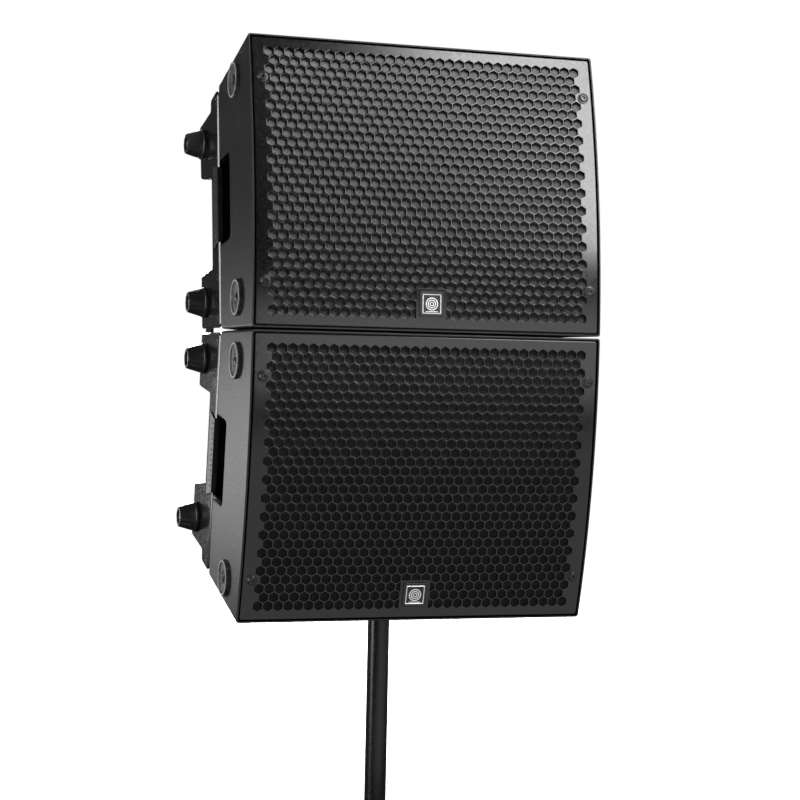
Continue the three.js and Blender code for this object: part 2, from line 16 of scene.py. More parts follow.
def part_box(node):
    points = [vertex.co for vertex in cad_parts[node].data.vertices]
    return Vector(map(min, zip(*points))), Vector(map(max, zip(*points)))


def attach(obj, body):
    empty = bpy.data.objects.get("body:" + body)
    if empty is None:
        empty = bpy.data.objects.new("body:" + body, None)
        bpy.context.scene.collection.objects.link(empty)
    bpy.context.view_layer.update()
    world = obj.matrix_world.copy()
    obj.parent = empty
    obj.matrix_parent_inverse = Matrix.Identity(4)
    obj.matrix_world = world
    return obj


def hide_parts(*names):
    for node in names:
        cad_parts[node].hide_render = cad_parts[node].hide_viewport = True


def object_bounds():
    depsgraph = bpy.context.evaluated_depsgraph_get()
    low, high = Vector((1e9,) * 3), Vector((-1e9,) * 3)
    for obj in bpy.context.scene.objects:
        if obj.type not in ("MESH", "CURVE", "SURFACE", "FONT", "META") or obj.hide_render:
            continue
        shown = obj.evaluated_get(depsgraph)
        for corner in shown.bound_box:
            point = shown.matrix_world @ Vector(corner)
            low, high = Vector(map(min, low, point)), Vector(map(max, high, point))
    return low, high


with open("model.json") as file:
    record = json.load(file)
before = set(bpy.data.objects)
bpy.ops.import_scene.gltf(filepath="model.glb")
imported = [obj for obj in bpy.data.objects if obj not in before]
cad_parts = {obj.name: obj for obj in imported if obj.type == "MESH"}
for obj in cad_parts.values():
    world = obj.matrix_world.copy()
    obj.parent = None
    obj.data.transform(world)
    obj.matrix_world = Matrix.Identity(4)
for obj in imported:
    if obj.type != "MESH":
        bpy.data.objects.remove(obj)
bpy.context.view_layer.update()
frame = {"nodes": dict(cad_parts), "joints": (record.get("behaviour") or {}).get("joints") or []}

MM = 0.001
CABINETS = {"upper": 1, "lower": -1}  # sign: which way a cabinet's far end lies
SIDES = {"left": 1, "right": -1}
ARRAY = "array"
POLE = "pole"

# ---- Driving dimensions, in millimetres ----

CLEAR = 0.3
FLAT_SIDE = 193
REAR_TAPER = radians(25)
WALL = 15
LIP = 2.6
GROOVE = 1.6
RABBET = 17
CORNER = 4.0  # cabinet's long edges
SHARP = 1.1  # cabinet's front edges
FRONT_STEPS = 48  # flats that the curved front is drawn with
OVERSHOOT = 6  # how far a cut reaches beyond the front

SHEET = 2.0  # grille steel
GRILLE_RETURN = 12
GRILLE_SET_BACK = 0.6
BEND = 2.0  # outside radius of the turned-back edge
HOLE_PITCH = 15.875
HOLE_ROWS = 29
HOLE_COLUMNS = 32
ROW_STRETCH = 1.015  # rows stand this much wider than a regular lattice
HOLE_FLATS = 13.8
HOLE_ROUND = 0.9  # how far a hole's corners are cut back
HOLE_ROLL = 0.5  # rounded edge left by the punch
PAD = 24  # half the plain square behind the badge
FOAM = 8
SCREW_X = 258
SCREW_ROW = 11  # rows from the middle to the grille's screws

BADGE = 38
BADGE_Z = -180
BADGE_THICK = 2.4

AMP = {"width": 330, "height": 270, "plate": 3}
AMP_OPENING = {"width": 300, "height": 240}
FINS = {"count": 12, "pitch": 16, "thick": 3, "depth": 26, "side": 18, "end": 14}
CONTROLS_X = 112
LEVEL_Z = 82
BUTTON_Z = 45
SWITCH_Z = -28
INLET_Z = -84
ROCKER_TILT = radians(7)
ROCKER_HOLE = (11.5, 15.5)  # half its width and height
INLET_HOLE = (14.5, 11.5)
BUTTON_RADIUS = 7
SOCKETS_X = 68
SOCKET_PITCH = 40

PLATE = 4
STRIP = {"front": 202, "rear": 250, "corner": 10, "pad": 34}
EAR_REAR = 330
GUSSET_REAR = EAR_REAR - 8
KNOB_Y = 297
STUD_HOLE = 6.5
NEAR_EAR = {"edge": -87, "knob": -136, "foot": -164}
FAR_EAR = {"root": 55, "edge": 74, "tip": 160, "shoulder": 167, "knob": 123, "foot": 171}
KNOB = {"base": 24.5, "tip": 16, "length": 30, "lift": 1, "stud": 5.5, "stud_end": 15}
POCKET = {"front": 124, "rear": 232, "low": -66, "high": 74, "depth": 44, "liner": 8, "corner": 14}
FOOT = {"y": 80, "radius": 28, "proud": 6}
LINK_RADIUS = 18

POLE_RADIUS = 17.5
POLE_WALL = 2.5
CUP = {"bore": 18, "outer": 22, "height": 104, "cap": 5, "flange": 42, "thick": 4, "screws": 33}
THREAD = {"radius": 10, "length": 25, "pitch": 2.5}

# ---- Where the cabinets are ----


def cabinet_frame(cabinet):
    """A cabinet's axes and origin, in metres, with its height and depth in millimetres."""
    rearward = next(j["axis"] for j in frame["joints"] if j["name"] == f"{cabinet}_cone_left_travel")
    turn = Matrix.Rotation(atan2(rearward[2], rearward[1]), 3, "X")
    points = [turn.transposed() @ v.co for v in frame["nodes"][f"{cabinet}_shell"].data.vertices]
    top = max(points, key=lambda p: (round(p.z, 5), -p.y))
    bottom = min(points, key=lambda p: (round(p.z, 5), p.y))
    origin = turn @ Vector((0, top.y, (top.z + bottom.z) / 2))
    depth = max(p.y for p in points) - top.y
    return Matrix.Translation(origin) @ turn.to_4x4(), (top.z - bottom.z) / MM, depth / MM


FRAMES = {name: cabinet_frame(name) for name in CABINETS}
HEIGHT, DEPTH = FRAMES["upper"][1:]
WIDTH = (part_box("upper_shell")[1].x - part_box("upper_shell")[0].x) / MM
LEFT = -WIDTH / 2  # the left side's face
HALF_WEDGE = asin(abs(FRAMES["upper"][0].col[1].z))  # from the rearward axis
APEX_Y = HEIGHT / 2 / tan(HALF_WEDGE)
FRONT_RADIUS = HEIGHT / 2 / sin(HALF_WEDGE)
GRILLE_RADIUS = FRONT_RADIUS - GRILLE_SET_BACK
ROW_PITCH = HOLE_PITCH * sqrt(3) / 2 * ROW_STRETCH


def cabinet_matrix(cabinet):
    return FRAMES[cabinet][0] @ Matrix.Scale(MM, 4)


def side_frame(cabinet, side):
    """From the upper cabinet's left side, as drawn, to any side of either cabinet."""
    flip = Matrix.Diagonal((SIDES[side], 1, CABINETS[cabinet], 1))
    return cabinet_matrix(cabinet) @ flip


def half_height(y, inset=0):
    return (APEX_Y - y) * tan(HALF_WEDGE) - inset / cos(HALF_WEDGE)


def half_width(y, inset=0):
    slant = cos(REAR_TAPER) if y > FLAT_SIDE else 1
    return WIDTH / 2 - max(0, y - FLAT_SIDE) * tan(REAR_TAPER) - inset / slant


def on_front(x, run, depth):
    """The point at x, a run up the curved grille from its middle, and a depth behind it."""
    angle = run / GRILLE_RADIUS
    reach = GRILLE_RADIUS - depth
    return Vector((x, APEX_Y - reach * cos(angle), reach * sin(angle)))


# ---- Shape helpers ----


def filleted(points, closed=True, steps=4):
    """Corner points (a, b, radius) as an outline with round corners."""
    outline = []
    for i, (a, b, radius) in enumerate(points):
        here = Vector((a, b))
        if radius == 0 or (not closed and i in (0, len(points) - 1)):
            outline.append(here)
            continue
        before = Vector(points[i - 1][:2]) - here
        after = Vector(points[(i + 1) % len(points)][:2]) - here
        reach = min(radius / tan(before.angle(after) / 2), before.length * 0.49, after.length * 0.49)
        start = here + before.normalized() * reach
        stop = here + after.normalized() * reach
        for k in range(steps + 1):
            t = k / steps
            outline.append(start * (1 - t) ** 2 + here * (2 * t * (1 - t)) + stop * t ** 2)
    return outline


def rectangle(a0, a1, b0, b1, radius=0):
    return [(a0, b0, radius), (a1, b0, radius), (a1, b1, radius), (a0, b1, radius)]


def prism(outline, low, high, axes="yzx"):
    """Closed solid from a flat outline; axes names its two directions and its depth."""
    order = [axes.index(letter) for letter in "xyz"]
    bm = bmesh.new()
    caps = []
    for depth in (low, high):
        caps.append([bm.verts.new([(a, b, depth)[k] for k in order]) for a, b in outline])
    bridge(bm, caps)
    bm.faces.new(reversed(caps[0]))
    bm.faces.new(caps[1])
    bmesh.ops.recalc_face_normals(bm, faces=bm.faces)
    return bm


def bridge(bm, rings, gap=0):
    """Four-sided faces between each ring of vertices and the next. gap=1 is for open rows."""
    for near, far in zip(rings, rings[1:]):
        for k in range(len(near) - gap):
            n = (k + 1) % len(near)
            bm.faces.new((near[k], near[n], far[n], far[k]))


def block(x0, x1, y0, y1, z0, z1, corner=0):
    """Box whose edges along y are rounded."""
    return prism(filleted(rectangle(x0, x1, z0, z1, corner)), y0, y1, "xzy")


def slab(half_x, half_y, low, high, corner, middle=(0, 0), steps=4):
    """Flat plate between two heights, with rounded corners."""
    x, y = middle
    outline = rectangle(x - half_x, x + half_x, y - half_y, y + half_y, corner)
    return prism(filleted(outline, steps=steps), low, high, "xyz")


def ring_of(r0, r1, low, high, sides=40):
    """Plain flat ring between two radii."""
    return turned([(r0, low), (r1, low), (r1, high), (r0, high)], sides)


def hexagon(angle):
    """Radius of a unit hexagon, across its flats, in a direction."""
    return cos(pi / 6) / cos(angle % (pi / 3) - pi / 6)


def turned(profile, sides=32, shape=None):
    """Solid turned about +z from (radius, height) points.

    shape(angle, height, radius) scales a radius. A profile that leaves the axis free at both
    its ends makes a ring.
    """
    bm = bmesh.new()
    rings = []
    for radius, height in profile:
        if radius < 1e-6:
            rings.append([bm.verts.new((0, 0, height))])
            continue
        ring = []
        for k in range(sides):
            angle = 2 * pi * k / sides
            r = radius * (shape(angle, height, radius) if shape else 1)
            ring.append(bm.verts.new((r * cos(angle), r * sin(angle), height)))
        rings.append(ring)
    closes = len(rings[0]) > 1 and len(rings[-1]) > 1
    pairs = list(zip(rings, rings[1:])) + ([(rings[-1], rings[0])] if closes else [])
    for low, high in pairs:
        for k in range(sides):
            n = (k + 1) % sides
            corners = (low[k % len(low)], low[n % len(low)], high[n % len(high)], high[k % len(high)])
            corners = list(dict.fromkeys(corners))
            if len(corners) > 2:
                bm.faces.new(corners)
    bmesh.ops.recalc_face_normals(bm, faces=bm.faces)
    return bm


def spun(corners, sides, steps=4, shape=None):
    """Solid turned from corner points (radius, height, round), its ends closed to the axis."""
    first, last = corners[0], corners[-1]
    start = [(0, first[1], 0)] if first[0] else []
    stop = [(0, last[1], 0)] if last[0] else []
    return turned(filleted([*start, *corners, *stop], closed=False, steps=steps), sides, shape)


def rod(radius, low, high, sides=32):
    """Plain cylinder along z."""
    return turned([(0, low), (radius, low), (radius, high), (0, high)], sides)


def hex_socket(reach):
    """For turned(): what lies within reach of the axis becomes hexagonal."""
    def shape(angle, height, radius):
        return hexagon(angle) if radius < reach else 1
    return shape


def facing(axis, place):
    """Matrix that turns +z to an axis and moves it to a place."""
    turn = Vector((0, 0, 1)).rotation_difference(Vector(axis)).to_matrix().to_4x4()
    return Matrix.Translation(place) @ turn


def moved(bm, matrix):
    """Moves a solid and keeps its faces turned outwards when the matrix mirrors it."""
    bm.transform(matrix)
    if matrix.determinant() < 0:
        bmesh.ops.reverse_faces(bm, faces=bm.faces)
    bm.normal_update()
    return bm


def joined(parts, materials=None):
    """One bmesh of several parts, with the number of each one's material where it isn't 0."""
    whole = bmesh.new()
    for part, number in zip(parts, materials or [0] * len(parts)):
        for face in part.faces:
            face.material_index = number
        mesh = bpy.data.meshes.new("part")
        part.to_mesh(mesh)
        whole.from_mesh(mesh)
        bpy.data.meshes.remove(mesh)
    return whole


def eased(bm, width, segments=2, angle=50, pick=None):
    """Rounds the edges that are sharper than an angle, or those of them that pick takes."""
    sharp = [e for e in bm.edges if len(e.link_faces) == 2
             and e.calc_face_angle(0) > radians(angle) and (pick is None or pick(e))]
    bmesh.ops.bevel(bm, geom=sharp, offset=width, segments=segments, profile=0.5,
                    affect="EDGES", clamp_overlap=True)
    return bm


def in_scene(name, data):
    """New object in the scene."""
    ob = bpy.data.objects.new(name, data)
    bpy.context.scene.collection.objects.link(ob)
    return ob


def as_object(bm, name="tool"):
    mesh = bpy.data.meshes.new(name)
    bm.to_mesh(mesh)
    return in_scene(name, mesh)


def carved(base, tools):
    """base with each tool cut out of it."""
    body = as_object(base)
    cutters = [as_object(tool) for tool in tools]
    for cutter in cutters:
        cut = body.modifiers.new("cut", "BOOLEAN")
        cut.operation = "DIFFERENCE"
        cut.solver = "EXACT"
        cut.object = cutter
    result = bmesh.new()
    result.from_object(body, bpy.context.evaluated_depsgraph_get())
    for ob in (body, *cutters):
        bpy.data.objects.remove(ob)
    return result


def piece(name, bm, looks, matrix, body=ARRAY, stands_for=None, smooth=35):
    """Adds a finished piece: bm in millimetres, moved to the row frame by matrix.

    looks holds the names of its looks, in the order of its material numbers.
    """
    moved(bm, matrix)
    bmesh.ops.recalc_face_normals(bm, faces=bm.faces)
    ob = as_object(bm, name)
    mesh = ob.data
    mesh.polygons.foreach_set("use_smooth", [True] * len(mesh.polygons))
    mesh.set_sharp_from_angle(angle=radians(smooth))
    for look in looks.split():
        mesh.materials.append(LOOKS[look])
    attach(ob, body)
    if stands_for:
        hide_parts(stands_for)
    ob.modifiers.new("even_shading", "WEIGHTED_NORMAL").keep_sharp = True
    return ob


# ---- Materials ----


class Look:
    """A Principled material whose colour, roughness and bump come from object-space nodes."""

    def __init__(self, name, roughness=0.4, metallic=0.0, specular=0.5):
        self.material = bpy.data.materials.new(name)
        self.material.use_nodes = True
        self.tree = self.material.node_tree
        self.shader = self.tree.nodes["Principled BSDF"]
        self.shader.inputs["Roughness"].default_value = roughness
        self.shader.inputs["Metallic"].default_value = metallic
        self.shader.inputs["Specular IOR Level"].default_value = specular
        self.place = self.tree.nodes.new("ShaderNodeTexCoord").outputs["Object"]
        self.height = None

    def node(self, kind, **inputs):
        made = self.tree.nodes.new(kind)
        for key, value in inputs.items():
            socket = made.inputs[key.replace("_", " ")]
            if isinstance(value, bpy.types.NodeSocket):
                self.tree.links.new(value, socket)
            else:
                socket.default_value = value
        return made

    def stretched(self, scale):
        return self.node("ShaderNodeMapping", Vector=self.place, Scale=scale).outputs["Vector"]

    def noise(self, scale, detail=3.0, roughness=0.55, vector=None):
        return self.node("ShaderNodeTexNoise", Vector=vector or self.place, Scale=scale,
                         Detail=detail, Roughness=roughness).outputs["Fac"]

    def cells(self, scale):
        return self.node("ShaderNodeTexVoronoi", Vector=self.place, Scale=scale).outputs["Distance"]

    def color(self, value, stops):
        """Greys along a ramp. Each stop is a place in the value's range, and a grey."""
        made = self.node("ShaderNodeValToRGB", Fac=value)
        elements = made.color_ramp.elements
        for _ in stops[2:]:
            elements.new(0.5)
        for element, (at, grey) in zip(elements, stops):
            element.position = at
            element.color = (grey, grey, grey, 1)
        self.tree.links.new(made.outputs["Color"], self.shader.inputs["Base Color"])

    def gloss(self, value, low, high):
        """Roughness between low and high where value goes from 0.3 to 0.7."""
        spread = self.node("ShaderNodeMapRange", Value=value, From_Min=0.3, From_Max=0.7,
                           To_Min=low, To_Max=high)
        self.tree.links.new(spread.outputs["Result"], self.shader.inputs["Roughness"])

    def bump(self, value, depth, strength=1.0):
        """Adds a height map; depth is in metres."""
        made = self.node("ShaderNodeBump", Height=value, Strength=strength, Distance=depth)
        if self.height:
            self.tree.links.new(self.height, made.inputs["Normal"])
        self.height = made.outputs["Normal"]
        self.tree.links.new(self.height, self.shader.inputs["Normal"])
        return self


def mottled(name, spots, stops, gloss, bump, **base):
    """A finish with spots of colour, and noise of other scales in its gloss and its height.

    spots is a noise's scale, detail and roughness. gloss and bump start with a noise's scale
    and detail; then come the range of roughness, or the depth in metres and the strength.
    """
    look = Look(name, **base)
    look.color(look.noise(*spots), stops)
    if gloss:
        look.gloss(look.noise(*gloss[:2]), *gloss[2:])
    return look.bump(look.noise(*bump[:2]), *bump[2:]).material


def textured_paint():
    """Black sprayed cabinet paint: a fine pebbled skin with a satin sheen."""
    look = Look("textured_paint")
    look.color(look.noise(14, 4), [(0.35, 0.007), (0.5, 0.009), (0.68, 0.0125)])
    look.gloss(look.noise(260, 2), 0.36, 0.5)
    look.bump(look.cells(620), 0.00012, 0.5)
    return look.bump(look.noise(1500, 2), 0.00005, 0.4).material


def powder_coat(name, shade, low, high, peel=0.35):
    """Satin powder coat on steel, with fine orange peel and a little settled dust."""
    return mottled(name, (90, 5, 0.7), [(0.38, shade * 0.7), (0.55, shade), (0.72, shade * 1.9)],
                   gloss=(180, 3, low, high), bump=(420, 2, 0.00006, peel))


def grille_coat():
    """The grille's powder coat, with the mottled dust that shows on its plain margins."""
    return mottled("grille_coat", (240, 6, 0.75), [(0.4, 0.002), (0.55, 0.004), (0.7, 0.013)],
                   gloss=(300, 3, 0.13, 0.23), bump=(500, 2, 0.00005, 0.3))


def acoustic_foam():
    """Open-cell charcoal foam: pores in two sizes, soft and matt."""
    look = Look("acoustic_foam", roughness=0.95, specular=0.1)
    look.color(look.cells(900), [(0.0, 0.045), (0.4, 0.115), (0.9, 0.24)])
    look.shader.inputs["Sheen Weight"].default_value = 0.04
    look.bump(look.cells(700), 0.0005, 0.8)
    return look.bump(look.noise(2200, 2), 0.0002, 0.6).material


def rubber():
    return mottled("rubber", (110, 5, 0.7), [(0.35, 0.03), (0.52, 0.07), (0.68, 0.2)],
                   gloss=(130, 4, 0.42, 0.66), bump=(900, 3, 0.00008, 0.5), specular=0.35)


def rim_highlight_rubber():
    """Lighter grey rubber for the feet's rim ring: a painted highlight that stands in for the bright line
    along the rim.
    """
    return mottled("rim_highlight_rubber", (170, 5, 0.7), [(0.3, 0.16), (0.5, 0.34), (0.7, 0.55)],
                   gloss=None, bump=(900, 3, 0.00008, 0.5), roughness=0.5)


def moulded_plastic(name, shade):
    """Black glass-filled nylon with a fine spark-eroded grain."""
    return mottled(name, (50, 4), [(0.3, shade * 0.8), (0.7, shade * 1.5)],
                   gloss=(200, 3, 0.32, 0.48), bump=(1300, 2, 0.00006, 0.5))


def brushed(name, shade, roughness, direction=(1, 60, 60)):
    """Bare metal with fine brushing across one direction."""
    look = Look(name, metallic=1.0)
    lines = look.noise(30, 4, 0.6, look.stretched(direction))
    look.color(lines, [(0.3, shade * 0.75), (0.7, shade * 1.15)])
    look.gloss(lines, roughness * 0.8, roughness * 1.3)
    return look.bump(lines, 0.00002, 0.4).material


def plated_steel():
    return mottled("plated_steel", (120, 5, 0.7), [(0.3, 0.28), (0.5, 0.42), (0.7, 0.5)],
                   gloss=(200, 4, 0.26, 0.5), bump=(700, 3, 0.00004, 0.3), metallic=1.0)


def black_oxide():
    return mottled("black_oxide", (150, 5, 0.7), [(0.3, 0.02), (0.55, 0.045), (0.75, 0.1)],
                   gloss=(260, 3, 0.2, 0.34), bump=(900, 2, 0.00004, 0.3), metallic=0.6)


def stained_plywood():
    """Birch plywood under a thin black stain, with its grain along x."""
    look = Look("stained_plywood", roughness=0.7, specular=0.3)
    grain = look.noise(9, 6, 0.65, look.stretched((1, 14, 14)))
    look.color(grain, [(0.3, 0.008), (0.5, 0.016), (0.7, 0.035)])
    return look.bump(grain, 0.0002, 0.4).material


def cast_metal():
    look = Look("cast_metal", metallic=0.3)
    look.color(look.noise(40, 5), [(0.3, 0.015), (0.7, 0.04)])
    look.gloss(look.noise(90, 4), 0.42, 0.62)
    return look.bump(look.noise(500, 4, 0.7), 0.0003, 0.5).material


def paper_cone():
    """Pressed pulp with long fibres under a dull damping coat."""
    look = Look("paper_cone", roughness=0.75, specular=0.25)
    fibres = look.noise(160, 6, 0.75, look.stretched((1, 1, 3)))
    look.color(fibres, [(0.35, 0.01), (0.55, 0.022), (0.7, 0.05)])
    return look.bump(fibres, 0.0003, 0.6).material


LOOKS = {
    "paint": textured_paint(),
    "grille": grille_coat(),
    "foam": acoustic_foam(),
    "steel": powder_coat("powder_coat", 0.008, 0.13, 0.2, 0.06),
    "pole": powder_coat("pole_coat", 0.005, 0.26, 0.36),
    "panel": powder_coat("panel_coat", 0.016, 0.36, 0.5),
    "rubber": rubber(),
    # The feet's rim rubber is painted lighter grey: a painted highlight along the rim.
    "worn": rim_highlight_rubber(),
    "plastic": moulded_plastic("moulded_plastic", 0.014),
    "grip": moulded_plastic("grip_plastic", 0.02),
    # The pocket cup's plastic is near black, far darker than the other plastic: painted shade inside the
    # recessed hand pocket.
    "cup": moulded_plastic("pocket_plastic_painted_shade", 0.003),
    "badge": brushed("badge_metal", 0.75, 0.28),
    "chassis": brushed("folded_steel", 0.5, 0.38, (60, 1, 60)),
    "plated": plated_steel(),
    "oxide": black_oxide(),
    "wood": stained_plywood(),
    "casting": cast_metal(),
    "cone": paper_cone(),
}

# ---- Cabinet shell ----


def pocket_block(grow, outer, inner):
    """Block with the left hand pocket's outline, grown outwards, between two places along x."""
    p = POCKET
    outline = rectangle(p["front"] - grow, p["rear"] + grow, p["low"] - grow, p["high"] + grow,
                        p["corner"] + grow)
    return prism(filleted(outline, steps=6), outer, inner)


def front_arc(inset, radius, way=1, steps=FRONT_STEPS):
    """Points (y, z) on the curved front at a radius, from the top down, or up if way is -1."""
    half = HALF_WEDGE - asin(inset / radius)
    angles = [way * half * (1 - 2 * k / steps) for k in range(steps + 1)]
    return [(APEX_Y - radius * cos(angle), radius * sin(angle)) for angle in angles]


def wedge(inset, radius, rear, steps=FRONT_STEPS):
    """Solid in the cabinet's shape, moved in by inset, with its front on a radius."""
    side = front_arc(inset, radius, steps=steps)
    bend = FLAT_SIDE - inset * tan(REAR_TAPER / 2)
    for y in (bend, rear):
        side += [(y, half_height(y, inset)), (y, -half_height(y, inset))]
    bm = bmesh.new()
    for y, z in side:
        x = half_width(y, inset) if y > bend else WIDTH / 2 - inset
        bm.verts.new((x, y, z))
        bm.verts.new((-x, y, z))
    made = bmesh.ops.convex_hull(bm, input=bm.verts)
    spare = [v for v in made["geom_interior"] if isinstance(v, bmesh.types.BMVert)]
    bmesh.ops.delete(bm, geom=spare, context="VERTS")
    bmesh.ops.dissolve_limit(bm, angle_limit=radians(0.05), verts=bm.verts, edges=bm.edges)
    return bm


def grille_recess():
    """Curved layer cut from the front for the grille, with rounded corners."""
    outline = front_arc(LIP, FRONT_RADIUS + OVERSHOOT) + front_arc(LIP, FRONT_RADIUS - RABBET, -1)
    band = prism(outline, LEFT + LIP, WIDTH / 2 - LIP)

    def along_y(edge):
        start, end = (vert.co for vert in edge.verts)
        return abs((start - end).normalized().y) > 0.9
    return eased(band, 3, 4, 40, along_y)


def shell(cabinet):
    """Plywood box, open at the front, with its hand pockets and the amplifier's opening."""
    def at_front(edge):
        return any(face.normal.y < -0.9 for face in edge.link_faces)

    def elsewhere(edge):
        return not at_front(edge)

    def pocket_mouth(edge):
        return all(abs(v.co.x) > half_width(v.co.y) - 0.1 and abs(v.co.z) < 90
                   and v.co.y > POCKET["front"] - 5 for v in edge.verts)

    def pockets(grow):
        outer, inner = LEFT - 1, LEFT + POCKET["depth"] + grow
        flips = [Matrix.Diagonal((sign, 1, CABINETS[cabinet], 1)) for sign in SIDES.values()]
        return [moved(pocket_block(grow, outer, inner), flip) for flip in flips]

    body = wedge(0, FRONT_RADIUS, DEPTH)
    eased(body, CORNER, 4, 15, elsewhere)
    eased(body, SHARP, 3, 40, at_front)
    room = carved(wedge(WALL, FRONT_RADIUS + OVERSHOOT, DEPTH - WALL, 2), pockets(POCKET["liner"]))
    w, h = AMP_OPENING["width"] / 2, AMP_OPENING["height"] / 2
    amp_opening = block(-w, w, DEPTH - WALL - 1, DEPTH + 1, -h, h, 6)
    tools = [room, grille_recess(), amp_opening, *pockets(0)]
    if cabinet == "lower":
        tools.append(cup_clearance())
    return eased(carved(body, tools), 2.5, 3, 50, pocket_mouth)


def cup_clearance():
    """Round hole for the pole's socket, in the lower cabinet's frame."""
    low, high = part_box("pole_cup")
    bore = moved(rod(CUP["outer"] + 1, -160, 60, 48), Matrix.Translation((low + high) / 2 / MM))
    return moved(bore, cabinet_matrix("lower").inverted() @ Matrix.Scale(MM, 4))


# ---- Perforated grille ----

FACE_HALF = WIDTH / 2 - LIP - GROOVE - BEND
FACE_RUN = GRILLE_RADIUS * (HALF_WEDGE - asin((LIP + GROOVE) / GRILLE_RADIUS)) - BEND
FACE_CORNER = 2.0
FACE_CORE = Vector((FACE_HALF - FACE_CORNER, FACE_RUN - FACE_CORNER))


def clipped(polygon, normal, limit):
    """The part of a convex polygon where its points along normal stay under limit."""
    kept = []
    for here, there in zip(polygon, polygon[1:] + polygon[:1]):
        a, b = here.dot(normal) - limit, there.dot(normal) - limit
        if a <= 0:
            kept.append(here)
        if (a < -1e-9 and b > 1e-9) or (a > 1e-9 and b < -1e-9):
            kept.append(here.lerp(there, a / (a - b)))
    return kept


def on_face(polygon):
    """A polygon kept within the grille's flat outline, which has small round corners."""
    if all(abs(p.x) < FACE_CORE.x and abs(p.y) < FACE_CORE.y for p in polygon):
        return polygon
    sides = 24
    for k in range(sides):
        normal = Vector((cos(2 * pi * k / sides), sin(2 * pi * k / sides)))
        corner = abs(normal.x) * FACE_CORE.x + abs(normal.y) * FACE_CORE.y
        polygon = clipped(polygon, normal, corner + FACE_CORNER)
        if len(polygon) < 3:
            return []
    return polygon


def hexagon_points(centre, flats, cut=0.0, stretch=1.0):
    """Pointed-up hexagon of a width across its flats, with its corners cut back."""
    radius = flats / sqrt(3)
    corners = [Vector((sin(k * pi / 3), cos(k * pi / 3) * stretch)) * radius
               for k in range(6)]
    if not cut:
        return [centre + c for c in corners]
    return [centre + corner + (neighbour - corner).normalized() * cut
            for k, corner in enumerate(corners)
            for neighbour in (corners[k - 1], corners[(k + 1) % 6])]


def hole_outline(centre):
    """The hole at a place on the grille, cut off or left out at the badge's plain pad."""
    hole = hexagon_points(centre, HOLE_FLATS, HOLE_ROUND)
    pad_top = BADGE_Z + PAD - 1
    across = abs(centre.x)
    if centre.y > pad_top + HOLE_PITCH or across > PAD + HOLE_PITCH / 2:
        return hole
    if centre.y > pad_top:
        return clipped(hole, Vector((0, -1)), -pad_top) if across < PAD else hole
    if across < HOLE_PITCH * 1.2:
        return []
    return clipped(hole, Vector((-copysign(1, centre.x), 0)), -PAD)


def collar(bm, outer, inner, middle):
    """Triangles between two loops of vertices that both go round a middle point."""
    def ordered(loop):
        turns = sorted((atan2(v.co.y - middle.y, v.co.x - middle.x), i)
                       for i, v in enumerate(loop))
        return [loop[i] for _, i in turns], [angle for angle, _ in turns]

    (outer, outer_turn), (inner, inner_turn) = ordered(outer), ordered(inner)
    a, b = len(outer), len(inner)
    i = j = 0
    while i + j < a + b:
        next_outer = outer_turn[(i + 1) % a] + 2 * pi * ((i + 1) // a)
        next_inner = inner_turn[(j + 1) % b] + 2 * pi * ((j + 1) // b)
        if j == b or (i < a and next_outer <= next_inner):
            bm.faces.new((outer[i % a], outer[(i + 1) % a], inner[j % b]))
            i += 1
        else:
            bm.faces.new((outer[i % a], inner[(j + 1) % b], inner[j % b]))
            j += 1


def grille_cell(bm, centre, outline, hole):
    """One lattice cell of the sheet: front and back faces, and the hole's rolled wall."""
    rings = []
    if hole:
        middle = sum(hole, Vector((0, 0))) / len(hole)
        roll = HOLE_ROLL
        for grow, depth in ((roll, 0.0), (roll * 0.3, roll * 0.3), (0, roll), (0, SHEET)):
            scale = 1 + grow / (HOLE_FLATS / 2)
            rings.append([bm.verts.new((*(middle + (p - middle) * scale), depth)) for p in hole])
        bridge(bm, rings)
    for depth, ring in ((0.0, 0), (SHEET, -1)):
        edge = [bm.verts.new((p.x, p.y, depth)) for p in outline]
        if hole:
            collar(bm, edge, rings[ring], middle)
        else:
            bm.faces.new(edge)


def turned_back_edge(bm):
    """Rolls the sheet's border back into its flange and closes it behind."""
    def outward(vert):
        nearest = [max(-core, min(core, at)) for core, at in zip(FACE_CORE, vert.co.xy)]
        return (vert.co.xy - Vector(nearest)).normalized()

    def border(depth):
        loop = {v for e in bm.edges if e.is_boundary for v in e.verts
                if abs(v.co.z - depth) < 1e-4}
        return sorted(loop, key=lambda v: atan2(v.co.y, v.co.x))

    front, back = border(0), border(SHEET)
    angles = [pi / 8 * k for k in range(1, 5)]
    profile = [(BEND * sin(a), BEND * (1 - cos(a))) for a in angles]
    profile += [(BEND, GRILLE_RETURN), (0, GRILLE_RETURN)]
    rings = [[bm.verts.new((*(vert.co.xy + outward(vert) * side), depth)) for vert in front]
             for side, depth in profile]
    bridge(bm, [front, *rings, back])


def grille():
    """Curved steel sheet with its lattice of hexagonal holes, in the cabinet's frame."""
    bm = bmesh.new()
    extra = 3
    middle_row = (HOLE_ROWS - 1) / 2
    for row in range(-extra, HOLE_ROWS + extra):
        odd = row % 2
        count = HOLE_COLUMNS - odd
        run = (row - middle_row) * ROW_PITCH
        for column in range(-extra, count + extra):
            centre = Vector(((column - (count - 1) / 2) * HOLE_PITCH, run))
            outline = on_face(hexagon_points(centre, HOLE_PITCH, 0, ROW_STRETCH))
            if len(outline) < 3:
                continue
            punched = 0 <= row < HOLE_ROWS and 0 <= column < count
            grille_cell(bm, centre, outline, hole_outline(centre) if punched else [])
    bmesh.ops.remove_doubles(bm, verts=bm.verts, dist=0.005)
    turned_back_edge(bm)
    for vert in bm.verts:
        vert.co = on_front(*vert.co)
    return bm


